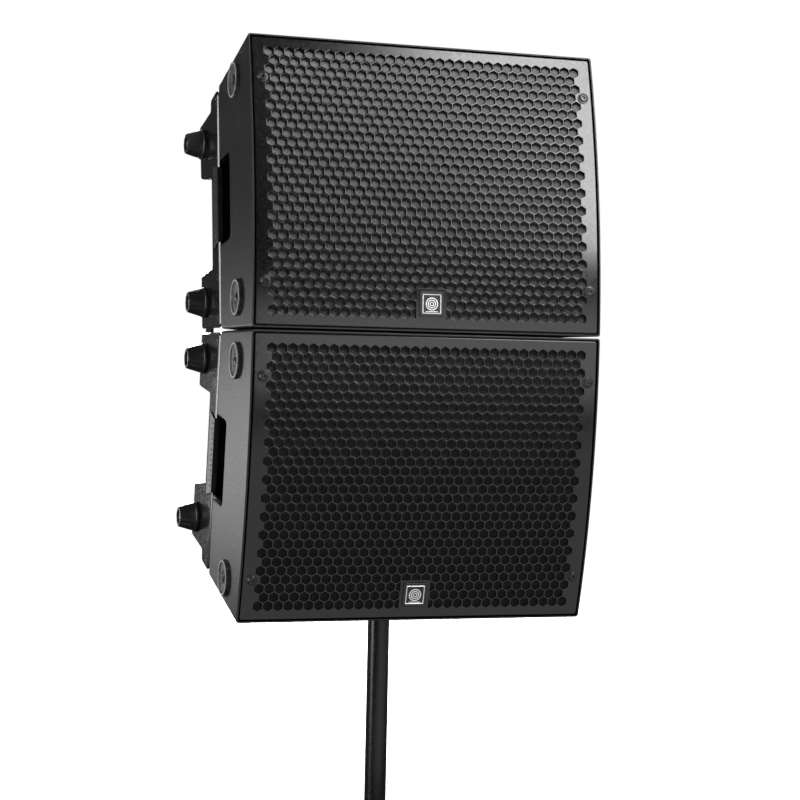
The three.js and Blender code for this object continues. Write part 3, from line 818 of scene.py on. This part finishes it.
def foam_sheet():
    """Acoustic foam behind the grille, its face softly uneven."""
    front = GRILLE_SET_BACK + SHEET + CLEAR
    inset = LIP + GROOVE + SHEET + CLEAR
    half_run = GRILLE_RADIUS * (HALF_WEDGE - asin(inset / GRILLE_RADIUS))
    across, along = 72, 56
    swell, bump_size = 0.5, 22
    bm = bmesh.new()
    layers = []
    for depth in (front, front + FOAM):
        rows = []
        for j in range(along + 1):
            run = half_run * (2 * j / along - 1)
            row = []
            for i in range(across + 1):
                x = (WIDTH / 2 - inset) * (2 * i / across - 1)
                wave = swell * abs(noise.noise(Vector((x, run, depth)) / bump_size))
                row.append(bm.verts.new(on_front(x, run, depth + wave)))
            rows.append(row)
        bridge(bm, rows, 1)
        layers.append(rows)

    def rim(rows):
        left, right = [r[0] for r in rows], [r[-1] for r in rows]
        return rows[0] + right[1:] + rows[-1][-2::-1] + left[-2:0:-1]
    bridge(bm, [rim(rows) for rows in layers])
    return bm


def front_matrix(x, run):
    """Frame of a piece that stands on the grille: +z out of it, +y up along it."""
    turn = Matrix.Rotation(pi / 2 - run / GRILLE_RADIUS, 4, "X")
    return Matrix.Translation(on_front(x, run, 0)) @ turn


def grille_screw():
    """Flanged button-head screw with a hexagonal socket."""
    corners = [(3.0, 0.9, 0), (3.0, 3.1, 0.3), (5.2, 3.2, 1.4), (6.6, 1.5, 0.8), (8.8, 1.3, 0.5),
               (8.8, 0.1, 0.2)]
    return spun(corners, 36, shape=hex_socket(4))


def badge_parts():
    """Square badge: a dark moulded base, and a bright frame and plain ringed emblem for it."""
    half = BADGE / 2
    bow = BADGE * BADGE / 8 / GRILLE_RADIUS + CLEAR
    base = eased(slab(half, half, bow, bow + BADGE_THICK - 0.6, 3), 0.8, 3)
    top = bow + BADGE_THICK - 0.8
    tall, relief = top + 0.8, top + 0.6
    frame_outer, frame_inner = 14.8, 13.3
    rim = carved(slab(frame_outer, frame_outer, top, tall, 0.8),
                 [slab(frame_inner, frame_inner, top - 2, tall + 2, 0.5)])
    rings = [ring_of(inner, outer, top, relief) for inner, outer in ((2.0, 3.4), (5.0, 6.6), (8.2, 9.8))]
    bar = slab(9.5, 0.6, top, relief, 0.5, middle=(0, -11.6))
    return base, joined([eased(rim, 0.2, 1), *rings, bar])


# ---- Sides ----


def rubber_foot():
    """Round bumper with a dished middle and, in its second material, a lighter grey rim ring that is a
    painted highlight.
    """
    r, proud = FOOT["radius"], FOOT["proud"]
    body = spun([(r, CLEAR, 0), (r, proud - 0.2, 1.8), (r - 3.4, proud + CLEAR, 1.2),
                 (r - 6, proud - 2, 1.4), (11, proud - 2.4, 1), (9, proud - 4, 0.6)], 64)
    low, high = proud - 0.6, proud + 0.35
    rim = turned(filleted([(r - 3.9, low, 0), (r - 1, low, 0), (r - 1, high, 0.5),
                           (r - 3.9, high, 0.5)], steps=3), 64)
    return joined([body, rim], [0, 1])


def foot_screw():
    """Pan-head screw and washer in the middle of a foot, with a cross recess."""
    base = FOOT["proud"] - 4
    washer = spun([(8.2, base, 0.2), (8.2, base + 0.9, 0.3)], 36)
    head = spun([(5.2, base + 0.8, 0), (5.2, base + 1.9, 0.8), (0, base + 3.2, 0)], 36, 5)
    cross = [block(-a, a, -b, b, base + 1.9, base + 9) for a, b in ((3, 0.6), (0.6, 3))]
    return joined([washer, carved(head, cross)])


def side_matrix(y, z):
    """Frame of a turned piece on the left side: +z points away from the cabinet."""
    return facing((-1, 0, 0), (LEFT, y, z))


def strip_end(y):
    """Height of the rigging plate's end, a little inside the cabinet's."""
    return half_height(y, 2)


def rigging_outline():
    """The plate's outline: a strip along the cabinet's bend, with an ear near each end."""
    front, rear, corner = STRIP["front"], STRIP["rear"], STRIP["corner"]
    return filleted([
        (front, -strip_end(front), corner), (EAR_REAR, -strip_end(EAR_REAR), 5),
        (EAR_REAR, NEAR_EAR["edge"], 6), (rear, NEAR_EAR["edge"], 5),
        (rear, FAR_EAR["root"], 5), (EAR_REAR - 4, FAR_EAR["edge"] - 2, 7),
        (EAR_REAR, FAR_EAR["tip"], 6), (rear, FAR_EAR["shoulder"], 6),
        (rear, strip_end(rear), corner), (front, strip_end(front), corner),
    ], steps=5)


def gusset(y0, y1, z0, z1):
    """Tapered rib between the plate and the slanting rear of the side."""
    gap = CLEAR / cos(REAR_TAPER)
    x = LEFT + PLATE / 2
    outline = [(x, y0), (-half_width(y0) - gap, y0), (-half_width(y1) - gap, y1), (x, y1)]
    return prism(outline, z0, z1, "xyz")


def rigging_plate():
    """Laser-cut side plate with its ears, stud holes and welded ribs."""
    holes = [moved(rod(STUD_HOLE, -2, PLATE + 4), facing((1, 0, 0), (LEFT, KNOB_Y, ear["knob"])))
             for ear in (NEAR_EAR, FAR_EAR)]
    plate = eased(carved(prism(rigging_outline(), LEFT, LEFT + PLATE), holes), 2.3, 1)
    front, rear = STRIP["front"], STRIP["rear"]
    foot = strip_end(rear) - STRIP["corner"]
    ribs = [(front, GUSSET_REAR, NEAR_EAR["edge"] - PLATE, NEAR_EAR["edge"]),
            (front, GUSSET_REAR, FAR_EAR["edge"], FAR_EAR["edge"] + PLATE),
            (front + 2, rear - 4, -foot, -foot + STRIP["pad"]),
            (front + 2, rear - 4, foot - STRIP["pad"], foot)]
    return joined([plate] + [eased(gusset(*rib), 0.5, 1) for rib in ribs])


def plate_screws():
    """Countersunk screws that hold the plate's strip to the cabinet."""
    edge, from_end = 11, 16
    y = STRIP["front"] + edge
    end = strip_end(y) - from_end
    corners = [(2.5, -1.2, 0), (2.5, 0.5, 0.2), (4.9, 0.5, 0.5), (5.3, -0.5, 0.2)]
    heights = (end, FAR_EAR["root"] + 30, NEAR_EAR["edge"] - 22, -end)
    return joined([moved(spun(corners, 24, shape=hex_socket(2.6)), side_matrix(y, z)) for z in heights])


def grip():
    """Moulded grip clipped over the strip along the hand pocket, with a ribbed relief."""
    low, high = POCKET["low"] + 4, POCKET["high"] - 2
    front, rear = STRIP["front"] - 2.5, STRIP["front"] + 30
    slant, beyond, rib_count = 8, 9, 13
    proud, behind = 2.2, 6.5
    base = prism(filleted([(front, low + slant, 2), (rear, low, 2), (rear, high, 2),
                           (front, high - slant, 2)]), LEFT - proud, LEFT + behind)
    tunnel = prism(filleted(rectangle(STRIP["front"] - CLEAR, rear + beyond, low - beyond, high + beyond)),
                   LEFT - CLEAR, LEFT + PLATE + CLEAR)
    parts = [eased(carved(base, [tunnel]), 0.8)]
    first, last = low + slant + beyond, high - slant - beyond
    for k in range(rib_count):
        z = first + k * (last - first) / (rib_count - 1)
        rib = prism(filleted([(front + 7, z - 2.6, 1), (rear - 6, z - 0.6, 1), (rear - 6, z + 2.6, 1),
                              (front + 7, z + 0.6, 1)], steps=2), LEFT - 3.0, LEFT - 2.0)
        parts.append(eased(rib, 0.3, 1))
    return joined(parts)


def hand_pocket():
    """Moulded cup that lines the hand pocket, with a raised lip behind the carrying bar."""
    p = POCKET
    wall, beyond = 2, 9
    floor = LEFT + p["depth"] - CLEAR
    outside = prism([(LEFT - 99, p["front"] - beyond), (LEFT + 0.1, p["front"] - beyond),
                     (LEFT + 0.1, FLAT_SIDE), (0.1 - half_width(p["rear"] + beyond), p["rear"] + beyond),
                     (LEFT - 99, p["rear"] + beyond)], p["low"] - beyond, p["high"] + beyond, "xyz")
    cup = carved(pocket_block(-CLEAR, LEFT - 3, floor),
                 [pocket_block(-CLEAR - wall, LEFT - 5, floor - wall), outside])
    rear, thick, rise = p["rear"] - CLEAR, 4, 12
    foot = -half_width(rear) + 4
    lip = prism(filleted([(foot, rear - thick, 0), (foot, rear, 0), (foot - rise, rear, 1.5),
                          (foot - rise, rear - thick, 1.5)], steps=3),
                p["low"] + CLEAR, p["high"] - CLEAR, "xyz")
    return joined([cup, lip])


def clamp_knob():
    """Tapered hand knob: skirt, eight finger flutes, rolled tip and recessed end."""
    base, tip, lift = KNOB["base"], KNOB["tip"], KNOB["lift"]
    end = KNOB["length"] + lift
    recess = KNOB["length"] - 4
    flutes, flute_depth = 8, 0.085
    profile = filleted([
        (KNOB["stud"] + 1, lift, 0), (base, lift, 0.6), (base, lift + 4, 1.2), (base - 1.6, lift + 6, 1.0),
        (tip, end, 2.2), (tip - 4.5, end, 1.0), (tip - 6, recess, 1.0), (0, recess, 0)], closed=False)
    dense = [(0, lift)]
    for here, there in zip(profile, profile[1:]):
        count = max(1, round((there - here).length / 3.0))
        dense += [here.lerp(there, i / count) for i in range(count)]
    dense.append(profile[-1])
    start, stop = lift + 7, end - 1.5

    def flute(angle, height, radius):
        if radius < tip - 2 or height < start:
            return 1
        rise = min(1, (height - start) / 6)
        wave = 0.5 - 0.5 * cos(flutes * angle)
        return 1 - flute_depth * rise * wave ** 3 * (1 if height < stop else 0.8)
    return turned(dense, 96, flute)


def threaded(radius, low, high, pitch, sides=32):
    """Stud with a rolled thread, along +z from low to high."""
    bm = bmesh.new()
    depth, chamfer = 0.55 * pitch, 0.4 * pitch
    rings = []
    count = round((high - low) / pitch * 6)
    for j in range(count + 1):
        z = low + (high - low) * j / count
        fade = min(1, (z - low) / pitch, (high - z) / pitch)
        ring = []
        for i in range(sides):
            angle = 2 * pi * i / sides
            crest = abs(2 * ((z / pitch - i / sides) % 1) - 1)
            r = radius - depth * crest * fade - (1 - fade) * chamfer
            ring.append(bm.verts.new((r * cos(angle), r * sin(angle), z)))
        rings.append(ring)
    bridge(bm, rings)
    bm.faces.new(list(reversed(rings[0])))
    bm.faces.new(rings[-1])
    return bm


def clamp_stud():
    """Threaded stud of a clamp knob."""
    return threaded(KNOB["stud"], -KNOB["stud_end"] + KNOB["lift"], KNOB["lift"] + 2, 1.75)


def knob_insert():
    """Bright end of the stud in the knob's recess."""
    base = KNOB["length"] - 4
    corners = [(5.4, base, 0), (5.4, base + 2.4, 0.8), (3.0, base + 2.4, 0.4), (2.6, base + 1.2, 0)]
    return spun(corners, 24, shape=hex_socket(3.4))


# ---- Rear panel ----

REAR = DEPTH + CLEAR


def rear_matrix(x, z):
    """Frame of a piece on the rear panel: +z points rearward."""
    return facing((0, 1, 0), (x, REAR + AMP["plate"], z))


def amp_panel():
    """Rear panel with a finned heat sink and cut-outs for its controls."""
    w, h = AMP["width"] / 2, AMP["height"] / 2
    back = REAR + AMP["plate"]
    cuts = [moved(rod(r, -9, 9), rear_matrix(CONTROLS_X, z))
            for r, z in ((4, LEVEL_Z), (BUTTON_RADIUS, BUTTON_Z))]
    for half_x, half_z, z in ((*ROCKER_HOLE, SWITCH_Z), (*INLET_HOLE, INLET_Z)):
        cuts.append(block(CONTROLS_X - half_x, CONTROLS_X + half_x, REAR - 1, back + 1,
                          z - half_z, z + half_z, 1))
    plate = eased(carved(block(-w, w, REAR, back, -h, h, 5), cuts), 0.6)
    tall = h - FINS["end"]
    thick, tip = FINS["thick"], back + FINS["depth"]
    fin = filleted([(-1.1, back - 0.5, 0), (thick + 1.1, back - 0.5, 0), (thick, back + 3, 1.5),
                    (thick - 0.5, tip, 0.9), (0.5, tip, 0.9), (0, back + 3, 1.5)], steps=3)
    starts = [-w + FINS["side"] + i * FINS["pitch"] for i in range(FINS["count"])]
    return joined([plate] + [prism([(x + a, b) for a, b in fin], -tall, tall, "xyz") for x in starts])


def panel_screws():
    """Button-head screws round the rear panel's edge."""
    margin = 8
    w, h = AMP["width"] / 2 - margin, AMP["height"] / 2 - margin
    corners = [(1.9, 0.6, 0), (1.9, 1.5, 0.2), (3.4, 1.7, 0.9), (4.4, 0.05, 0.1)]
    places = [(x, z) for x in (-w, 0, w) for z in (-h, 0, h) if x or z]
    return joined([moved(spun(corners, 24, shape=hex_socket(2)), rear_matrix(x, z)) for x, z in places])


def round_socket(pins):
    """Panel connector: flanged shell, dark insert with its pins, and a latch."""
    barrel = turned(filleted([(10.6, 0.1, 0), (13.0, 0.1, 0.2), (13.0, 2.2, 0.8), (11.4, 3.2, 0.6),
                              (10.6, 3.2, 0.3), (10.6, -9, 0.2), (9.4, -9, 0), (9.4, 0.1, 0)]), 48)
    insert = spun([(9.3, -8.8, 0), (9.3, -1.4, 0.6)], 40)
    flange = eased(carved(slab(13.2, 15.6, 0.05, 1.6, 2.5), [rod(10.7, -3, 4, 40)]), 0.4)
    latch = eased(slab(3, 1.95, 1.6, 3.4, 0.6, middle=(0, 10.45)), 0.4)
    plugs = []
    pin_circle = 4.6
    for k in range(pins):
        angle = radians(90 + 360 / pins * k)
        pin = spun([(1.3, -1.6, 0), (1.3, 1.0, 0.5), (0, 1.4, 0)], 14)
        spot = Vector((cos(angle), sin(angle), 0)) * pin_circle
        plugs.append(moved(pin, Matrix.Translation(spot)))
    return joined([flange, barrel, insert, latch, *plugs], [0, 0, 1, 2] + [2] * pins)


def level_knob():
    """Control knob with a fluted grip and, in its second material, a pointer line."""
    def flutes(angle, height, radius):
        grips = radius > 8.5 and height > 3
        return 1 - 0.05 * (0.5 - 0.5 * cos(18 * angle)) if grips else 1
    body = spun([(3, -12, 0), (3, 1, 0), (11, 1, 0.4), (11, 3, 0.8), (10, 4.2, 0.4), (9.2, 15, 1.2)],
                72, shape=flutes)
    return joined([body, block(-0.6, 0.6, 2.5, 9.3, 14.9, 15.25)], [0, 1])


def mode_button():
    return spun([(6, -10, 0), (6, 4.2, 1.0), (4.6, 5, 0.8), (3.4, 4.4, 0.6), (0, 4.3, 0)], 40)


def control_ring(radius):
    """Thin bright collar round a control."""
    return turned(filleted([(radius, 0.05, 0), (radius + 2.6, 0.05, 0.2), (radius + 2.2, 1.0, 0.4),
                            (radius, 1.0, 0.2)]), 40)


def rocker_switch():
    """Mains rocker, drawn level about its pivot and then tilted to its off position."""
    rocker = prism(filleted([(-9, -13, 0), (3.4, -13.4, 0.8), (1.4, 0, 6), (3.4, 13.4, 0.8),
                             (-9, 13, 0)]), -10, 10)
    dot = moved(rod(1.6, 2.0, 2.95, 20), facing((0, 1, 0), (0, 0, 8.6)))
    return moved(joined([eased(rocker, 0.5, 2, 60), dot], [0, 1]), Matrix.Rotation(-ROCKER_TILT, 4, "X"))


def bezel(half_x, half_z, wide, high):
    """Raised frame round a rectangular cut-out."""
    outer = slab(half_x + wide, half_z + wide, 0.05, high, 2)
    return eased(carved(outer, [slab(half_x, half_z, -2, high + 2, 1)]), 0.4)


def mains_inlet():
    """Locking mains inlet: flanged body, socket and, in its second material, three blades."""
    lift = CLEAR
    flange = eased(slab(19, 17, lift, lift + 3, 3), 0.6)
    body = slab(14, 11, lift - 26, lift + 1, 2)
    hole = prism(filleted([(-11.5, -8, 1), (11.5, -8, 1), (11.5, 4, 1), (8, 8, 1), (-8, 8, 1),
                           (-11.5, 4, 1)], steps=2), lift - 18, lift + 5, "xyz")
    blades = [slab(0.9, 2.4, lift - 19, lift - 4, 0.3, spot, 2) for spot in ((-7, -1), (0, 2), (7, -1))]
    return joined([carved(flange, [hole]), carved(body, [hole]), *blades], [0, 0, 1, 1, 1])


# ---- Assembly ----


def add_front(cabinet, sheet):
    """Cabinet shell, grille with its screws and foam, and badge."""
    base = cabinet_matrix(cabinet)
    piece(f"{cabinet}_cabinet", shell(cabinet), "paint", base,
          stands_for=f"{cabinet}_shell")
    piece(f"{cabinet}_perforated_grille", sheet.copy(), "grille", base,
          stands_for=f"{cabinet}_grille", smooth=28)
    foam = piece(f"{cabinet}_acoustic_foam", foam_sheet(), "foam", base,
                 stands_for=f"{cabinet}_grille_foam")
    run = SCREW_ROW * ROW_PITCH
    for x, side in ((-SCREW_X, "left"), (SCREW_X, "right")):
        for z, end in ((run, "top"), (-run, "bottom")):
            piece(f"{cabinet}_grille_screw_{side}_{end}", grille_screw(), "oxide",
                  base @ front_matrix(x, z))
    plate, bright = badge_parts()
    spot = base @ front_matrix(0, BADGE_Z)
    piece(f"{cabinet}_badge_base", plate, "plastic", spot)
    piece(f"{cabinet}_badge_emblem", bright, "badge", spot, stands_for=f"{cabinet}_badge")


def add_side(cabinet, side):
    """Rigging plate, grip, hand pocket, two feet and two clamp knobs."""
    place = side_frame(cabinet, side)
    start = f"{cabinet}_{side}"
    piece(f"{start}_rigging_plate", rigging_plate(), "steel", place,
          stands_for=f"{cabinet}_rigging_{side}")
    piece(f"{start}_plate_screws", plate_screws(), "oxide", place)
    piece(f"{start}_grip", grip(), "grip", place)
    # The cup's near-black colour is painted shade of the recessed pocket.
    piece(f"{start}_hand_pocket", hand_pocket(), "cup", place)
    for end, ear in (("far", FAR_EAR), ("near", NEAR_EAR)):
        label = "top" if (end == "far") == (cabinet == "upper") else "bottom"
        foot = place @ side_matrix(FOOT["y"], ear["foot"])
        # The rim ring's lighter grey is a painted highlight.
        piece(f"{start}_{label}_bumper", rubber_foot(), "rubber worn", foot,
              stands_for=f"{cabinet}_foot_{side}_{label}")
        piece(f"{start}_{label}_bumper_screw", foot_screw(), "oxide", foot)
        node = f"{cabinet}_knob_{side}_{label}"
        knob = place @ side_matrix(KNOB_Y, ear["knob"])
        piece(f"{node}_body", clamp_knob(), "plastic", knob, node, node)
        piece(f"{node}_stud", clamp_stud(), "plated", knob, node)
        piece(f"{node}_insert", knob_insert(), "plated", knob, node)


def add_rear(cabinet):
    """Amplifier panel with its controls, sockets and mains inlet."""
    base = cabinet_matrix(cabinet)

    def add(part, bm, looks, z, x=CONTROLS_X, node=None):
        body = ARRAY if node in (None, "power_inlet") else f"{cabinet}_{node}"
        stands_for = node and f"{cabinet}_{node}"
        piece(f"{cabinet}_{part}", bm, looks, base @ rear_matrix(x, z), body, stands_for)

    piece(f"{cabinet}_rear_panel", amp_panel(), "panel", base,
          stands_for=f"{cabinet}_amp_panel")
    piece(f"{cabinet}_rear_screws", panel_screws(), "oxide", base)
    add("level_control", level_knob(), "plastic badge", LEVEL_Z, node="level_knob")
    add("mode_button_cap", mode_button(), "rubber", BUTTON_Z, node="mode_button")
    add("mode_collar", control_ring(BUTTON_RADIUS), "plated", BUTTON_Z)
    switch = f"{cabinet}_power_switch"
    pivot = Matrix.Translation((CONTROLS_X, REAR + AMP["plate"], SWITCH_Z))
    piece(f"{cabinet}_rocker", rocker_switch(), "plastic badge", base @ pivot, switch, switch)
    add("rocker_bezel", bezel(*ROCKER_HOLE, wide=2.5, high=1.4), "plastic", SWITCH_Z)
    add("mains_inlet", mains_inlet(), "plastic plated", INLET_Z, node="power_inlet")
    for z, label in ((LEVEL_Z, "input"), (LEVEL_Z - SOCKET_PITCH, "output")):
        add(f"audio_{label}", round_socket(3), "plated plastic badge", z, x=SOCKETS_X)


def add_internals(cabinet):
    """Gives the pieces inside, which keep their CAD shapes, their real materials."""
    looks = {"baffle": "wood", "waveguide": "plastic", "hf_driver": "casting",
             "amp_chassis": "chassis", "woofer_left": "casting", "woofer_right": "casting",
             "cone_left": "cone", "cone_right": "cone"}
    for node, look in looks.items():
        mesh = frame["nodes"][f"{cabinet}_{node}"].data
        mesh.materials.clear()
        mesh.materials.append(LOOKS[look])


def add_links():
    """Flat bars behind the ears that join the two cabinets."""
    r = LINK_RADIUS
    for side in SIDES:
        node = f"link_{side}"
        low, high = (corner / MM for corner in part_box(node))
        y = (low.y + high.y) / 2
        outline, holes = [], []
        for z, start in ((high.z - r, 0), (low.z + r, pi)):
            angles = [start + pi * k / 16 for k in range(17)]
            outline += [(y + r * cos(angle), z + r * sin(angle)) for angle in angles]
            holes.append(moved(rod(STUD_HOLE, -9, 9), facing((1, 0, 0), ((low.x + high.x) / 2, y, z))))
        bar = eased(carved(prism(outline, low.x, high.x), holes), 0.8)
        piece(f"{node}_bar", bar, "steel", Matrix.Scale(MM, 4), stands_for=node)


def add_pole():
    """Tube of the pole, and its end plug with the threaded stud."""
    whole = Matrix.Scale(MM, 4)
    low, high = (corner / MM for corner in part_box("pole_tube"))
    r, bore = POLE_RADIUS, POLE_RADIUS - POLE_WALL
    tube = filleted([(bore, low.z, 0.3), (r, low.z, 0.5), (r, high.z, 1.0), (bore, high.z, 0.5)])
    piece("pole_shaft", turned(tube, 96), "pole", whole, POLE, stands_for="pole_tube")
    spigot = bore - CLEAR - 0.2
    shoulder = low.z - CLEAR
    plug = spun([(r, 0, 0.8), (r, shoulder, 0.4), (spigot, shoulder, 0), (spigot, 40, 1.5)], 64)
    stud = threaded(THREAD["radius"], -THREAD["length"], 0.5, THREAD["pitch"], 48)
    piece("pole_end_plug", joined([plug, stud]), "plated", whole, POLE, stands_for="pole_foot")


def add_cup():
    """Pole socket: a turned barrel on a flange that follows the sloping underside."""
    whole = Matrix.Scale(MM, 4)
    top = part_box("pole_cup")[1].z / MM
    bottom = top - CUP["height"] - CUP["cap"]
    tilt = Matrix.Translation((0, 0, bottom)) @ Matrix.Rotation(2 * HALF_WEDGE, 4, "X")
    under = -CUP["thick"] - CLEAR
    flange = moved(spun([(CUP["flange"], under, 1.2), (CUP["flange"], -CLEAR, 0.3)], 72), tilt)
    barrel = spun([(CUP["outer"], bottom - 1, 0), (CUP["outer"], top, 2)], 64)
    bored = [carved(part, [rod(CUP["bore"], bottom - 40, bottom + CUP["height"], 64)])
             for part in (flange, barrel)]
    piece("pole_socket", joined(bored), "steel", whole, stands_for="pole_cup")
    corners = [(2.0, 0.4, 0), (2.0, 2.2, 0.3), (4.6, 2.4, 1.2), (5.0, 0.05, 0.2)]
    screws = []
    for k in range(4):
        angle = radians(45 + 90 * k)
        spot = Matrix.Translation((CUP["screws"] * cos(angle), CUP["screws"] * sin(angle), under))
        screw = spun(corners, 24, shape=hex_socket(2.1))
        screws.append(moved(screw, tilt @ spot @ Matrix.Rotation(pi, 4, "X")))
    piece("pole_socket_screws", joined(screws), "oxide", whole)


# ---- Camera, light and floor ----

FOCAL = 90.4
CAMERA_FROM_SEAM = (-0.988, -2.8558, -0.060)  # metres, from the middle of the front seam
CAMERA_YAW, CAMERA_PITCH, CAMERA_ROLL = (radians(a) for a in (18.24, -0.79, 1.23))


def add_camera():
    """Camera at the photograph's viewing angle, placed from the middle of the front seam."""
    seam = sum((FRAMES[name][0] @ Vector((0, 0, -sign * HEIGHT / 2 * MM))
                for name, sign in CABINETS.items()), Vector()) / 2
    data = bpy.data.cameras.new("camera")
    data.lens = FOCAL
    data.sensor_width = 36
    camera = in_scene("camera", data)
    turn = (Matrix.Rotation(-CAMERA_YAW, 4, "Z") @ Matrix.Rotation(pi / 2 + CAMERA_PITCH, 4, "X")
            @ Matrix.Rotation(CAMERA_ROLL, 4, "Z"))
    camera.matrix_world = Matrix.Translation(seam + Vector(CAMERA_FROM_SEAM)) @ turn
    bpy.context.scene.camera = camera


def add_lamp(name, place, target, size, power):
    """Rectangular area lamp, in metres and watts, that the camera doesn't see."""
    data = bpy.data.lights.new(name, "AREA")
    data.shape = "RECTANGLE"
    data.size, data.size_y = size
    data.energy = power
    lamp = in_scene(name, data)
    lamp.location = place
    lamp.rotation_euler = (Vector(target) - Vector(place)).to_track_quat("-Z", "Y").to_euler()
    lamp.visible_camera = False
    return lamp


def add_light():
    """Soft studio light. Some lamps only light surfaces, and some only show mirrored in them."""
    middle = (0, 0, 0.8)
    key = add_lamp("overhead_softbox", (0.6, -0.85, 3.25), middle, (1.3, 0.7), 140)
    key.visible_glossy = False
    add_lamp("low_rear_panel", (-1.1, 1.7, 0.55), (-0.3, 0, 0.66), (0.5, 0.5), 4.4)
    add_lamp("left_strip", (-2.65, -0.35, 0.95), (-0.28, 0.1, 0.85), (0.6, 2.0), 50)
    add_lamp("rear_softbox", (0.5, 3.4, 1.5), middle, (1.6, 1.2), 170)
    add_lamp("right_panel", (3.2, 0.5, 1.3), middle, (1.2, 1.2), 70)
    only_mirrored = [
        add_lamp("right_softbox", (1.32, -2.33, 2.35), (0.2, -0.23, 1.03), (0.7, 1.9), 62),
        add_lamp("front_reflector", (1.05, -3.0, 0.72), (0, -0.2, 0.8), (1.5, 0.8), 8),
        add_lamp("floor_bounce", (0.9, -1.9, 0.0), (0.9, -1.9, 2), (3.0, 3.0), 24),
    ]
    for lamp in only_mirrored:
        lamp.visible_diffuse = False


def add_surroundings():
    """Pale floor and white surroundings, which light the object less than they show."""
    floor_half, gap = 20, 0.0005
    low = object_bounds()[0]
    bm = bmesh.new()
    bmesh.ops.create_grid(bm, x_segments=8, y_segments=8, size=floor_half)
    floor = as_object(bm, "floor")
    floor.location.z = low.z - gap
    floor.visible_glossy = False
    floor.visible_diffuse = False
    look = Look("pale_floor", roughness=0.9, specular=0.1)
    look.color(look.noise(3, 3), [(0.3, 0.88), (0.7, 0.9)])
    look.shader.inputs["Emission Color"].default_value = (1, 1, 1, 1)
    look.shader.inputs["Emission Strength"].default_value = 1.0
    floor.data.materials.append(look.material)
    world = bpy.data.worlds.new("studio")
    world.use_nodes = True
    bpy.context.scene.world = world
    nodes, links = world.node_tree.nodes, world.node_tree.links
    background = nodes["Background"]
    background.inputs["Color"].default_value = (1, 1, 1, 1)
    strength = nodes.new("ShaderNodeMapRange")
    strength.inputs["To Min"].default_value = 0.045
    strength.inputs["To Max"].default_value = 1.0
    links.new(nodes.new("ShaderNodeLightPath").outputs["Is Camera Ray"], strength.inputs["Value"])
    links.new(strength.outputs["Result"], background.inputs["Strength"])
    bpy.context.scene.view_settings.view_transform = "Standard"


sheet = grille()
for cabinet in CABINETS:
    add_front(cabinet, sheet)
    add_rear(cabinet)
    add_internals(cabinet)
    for side in SIDES:
        add_side(cabinet, side)
add_links()
add_pole()
add_cup()
add_camera()
add_light()
add_surroundings()
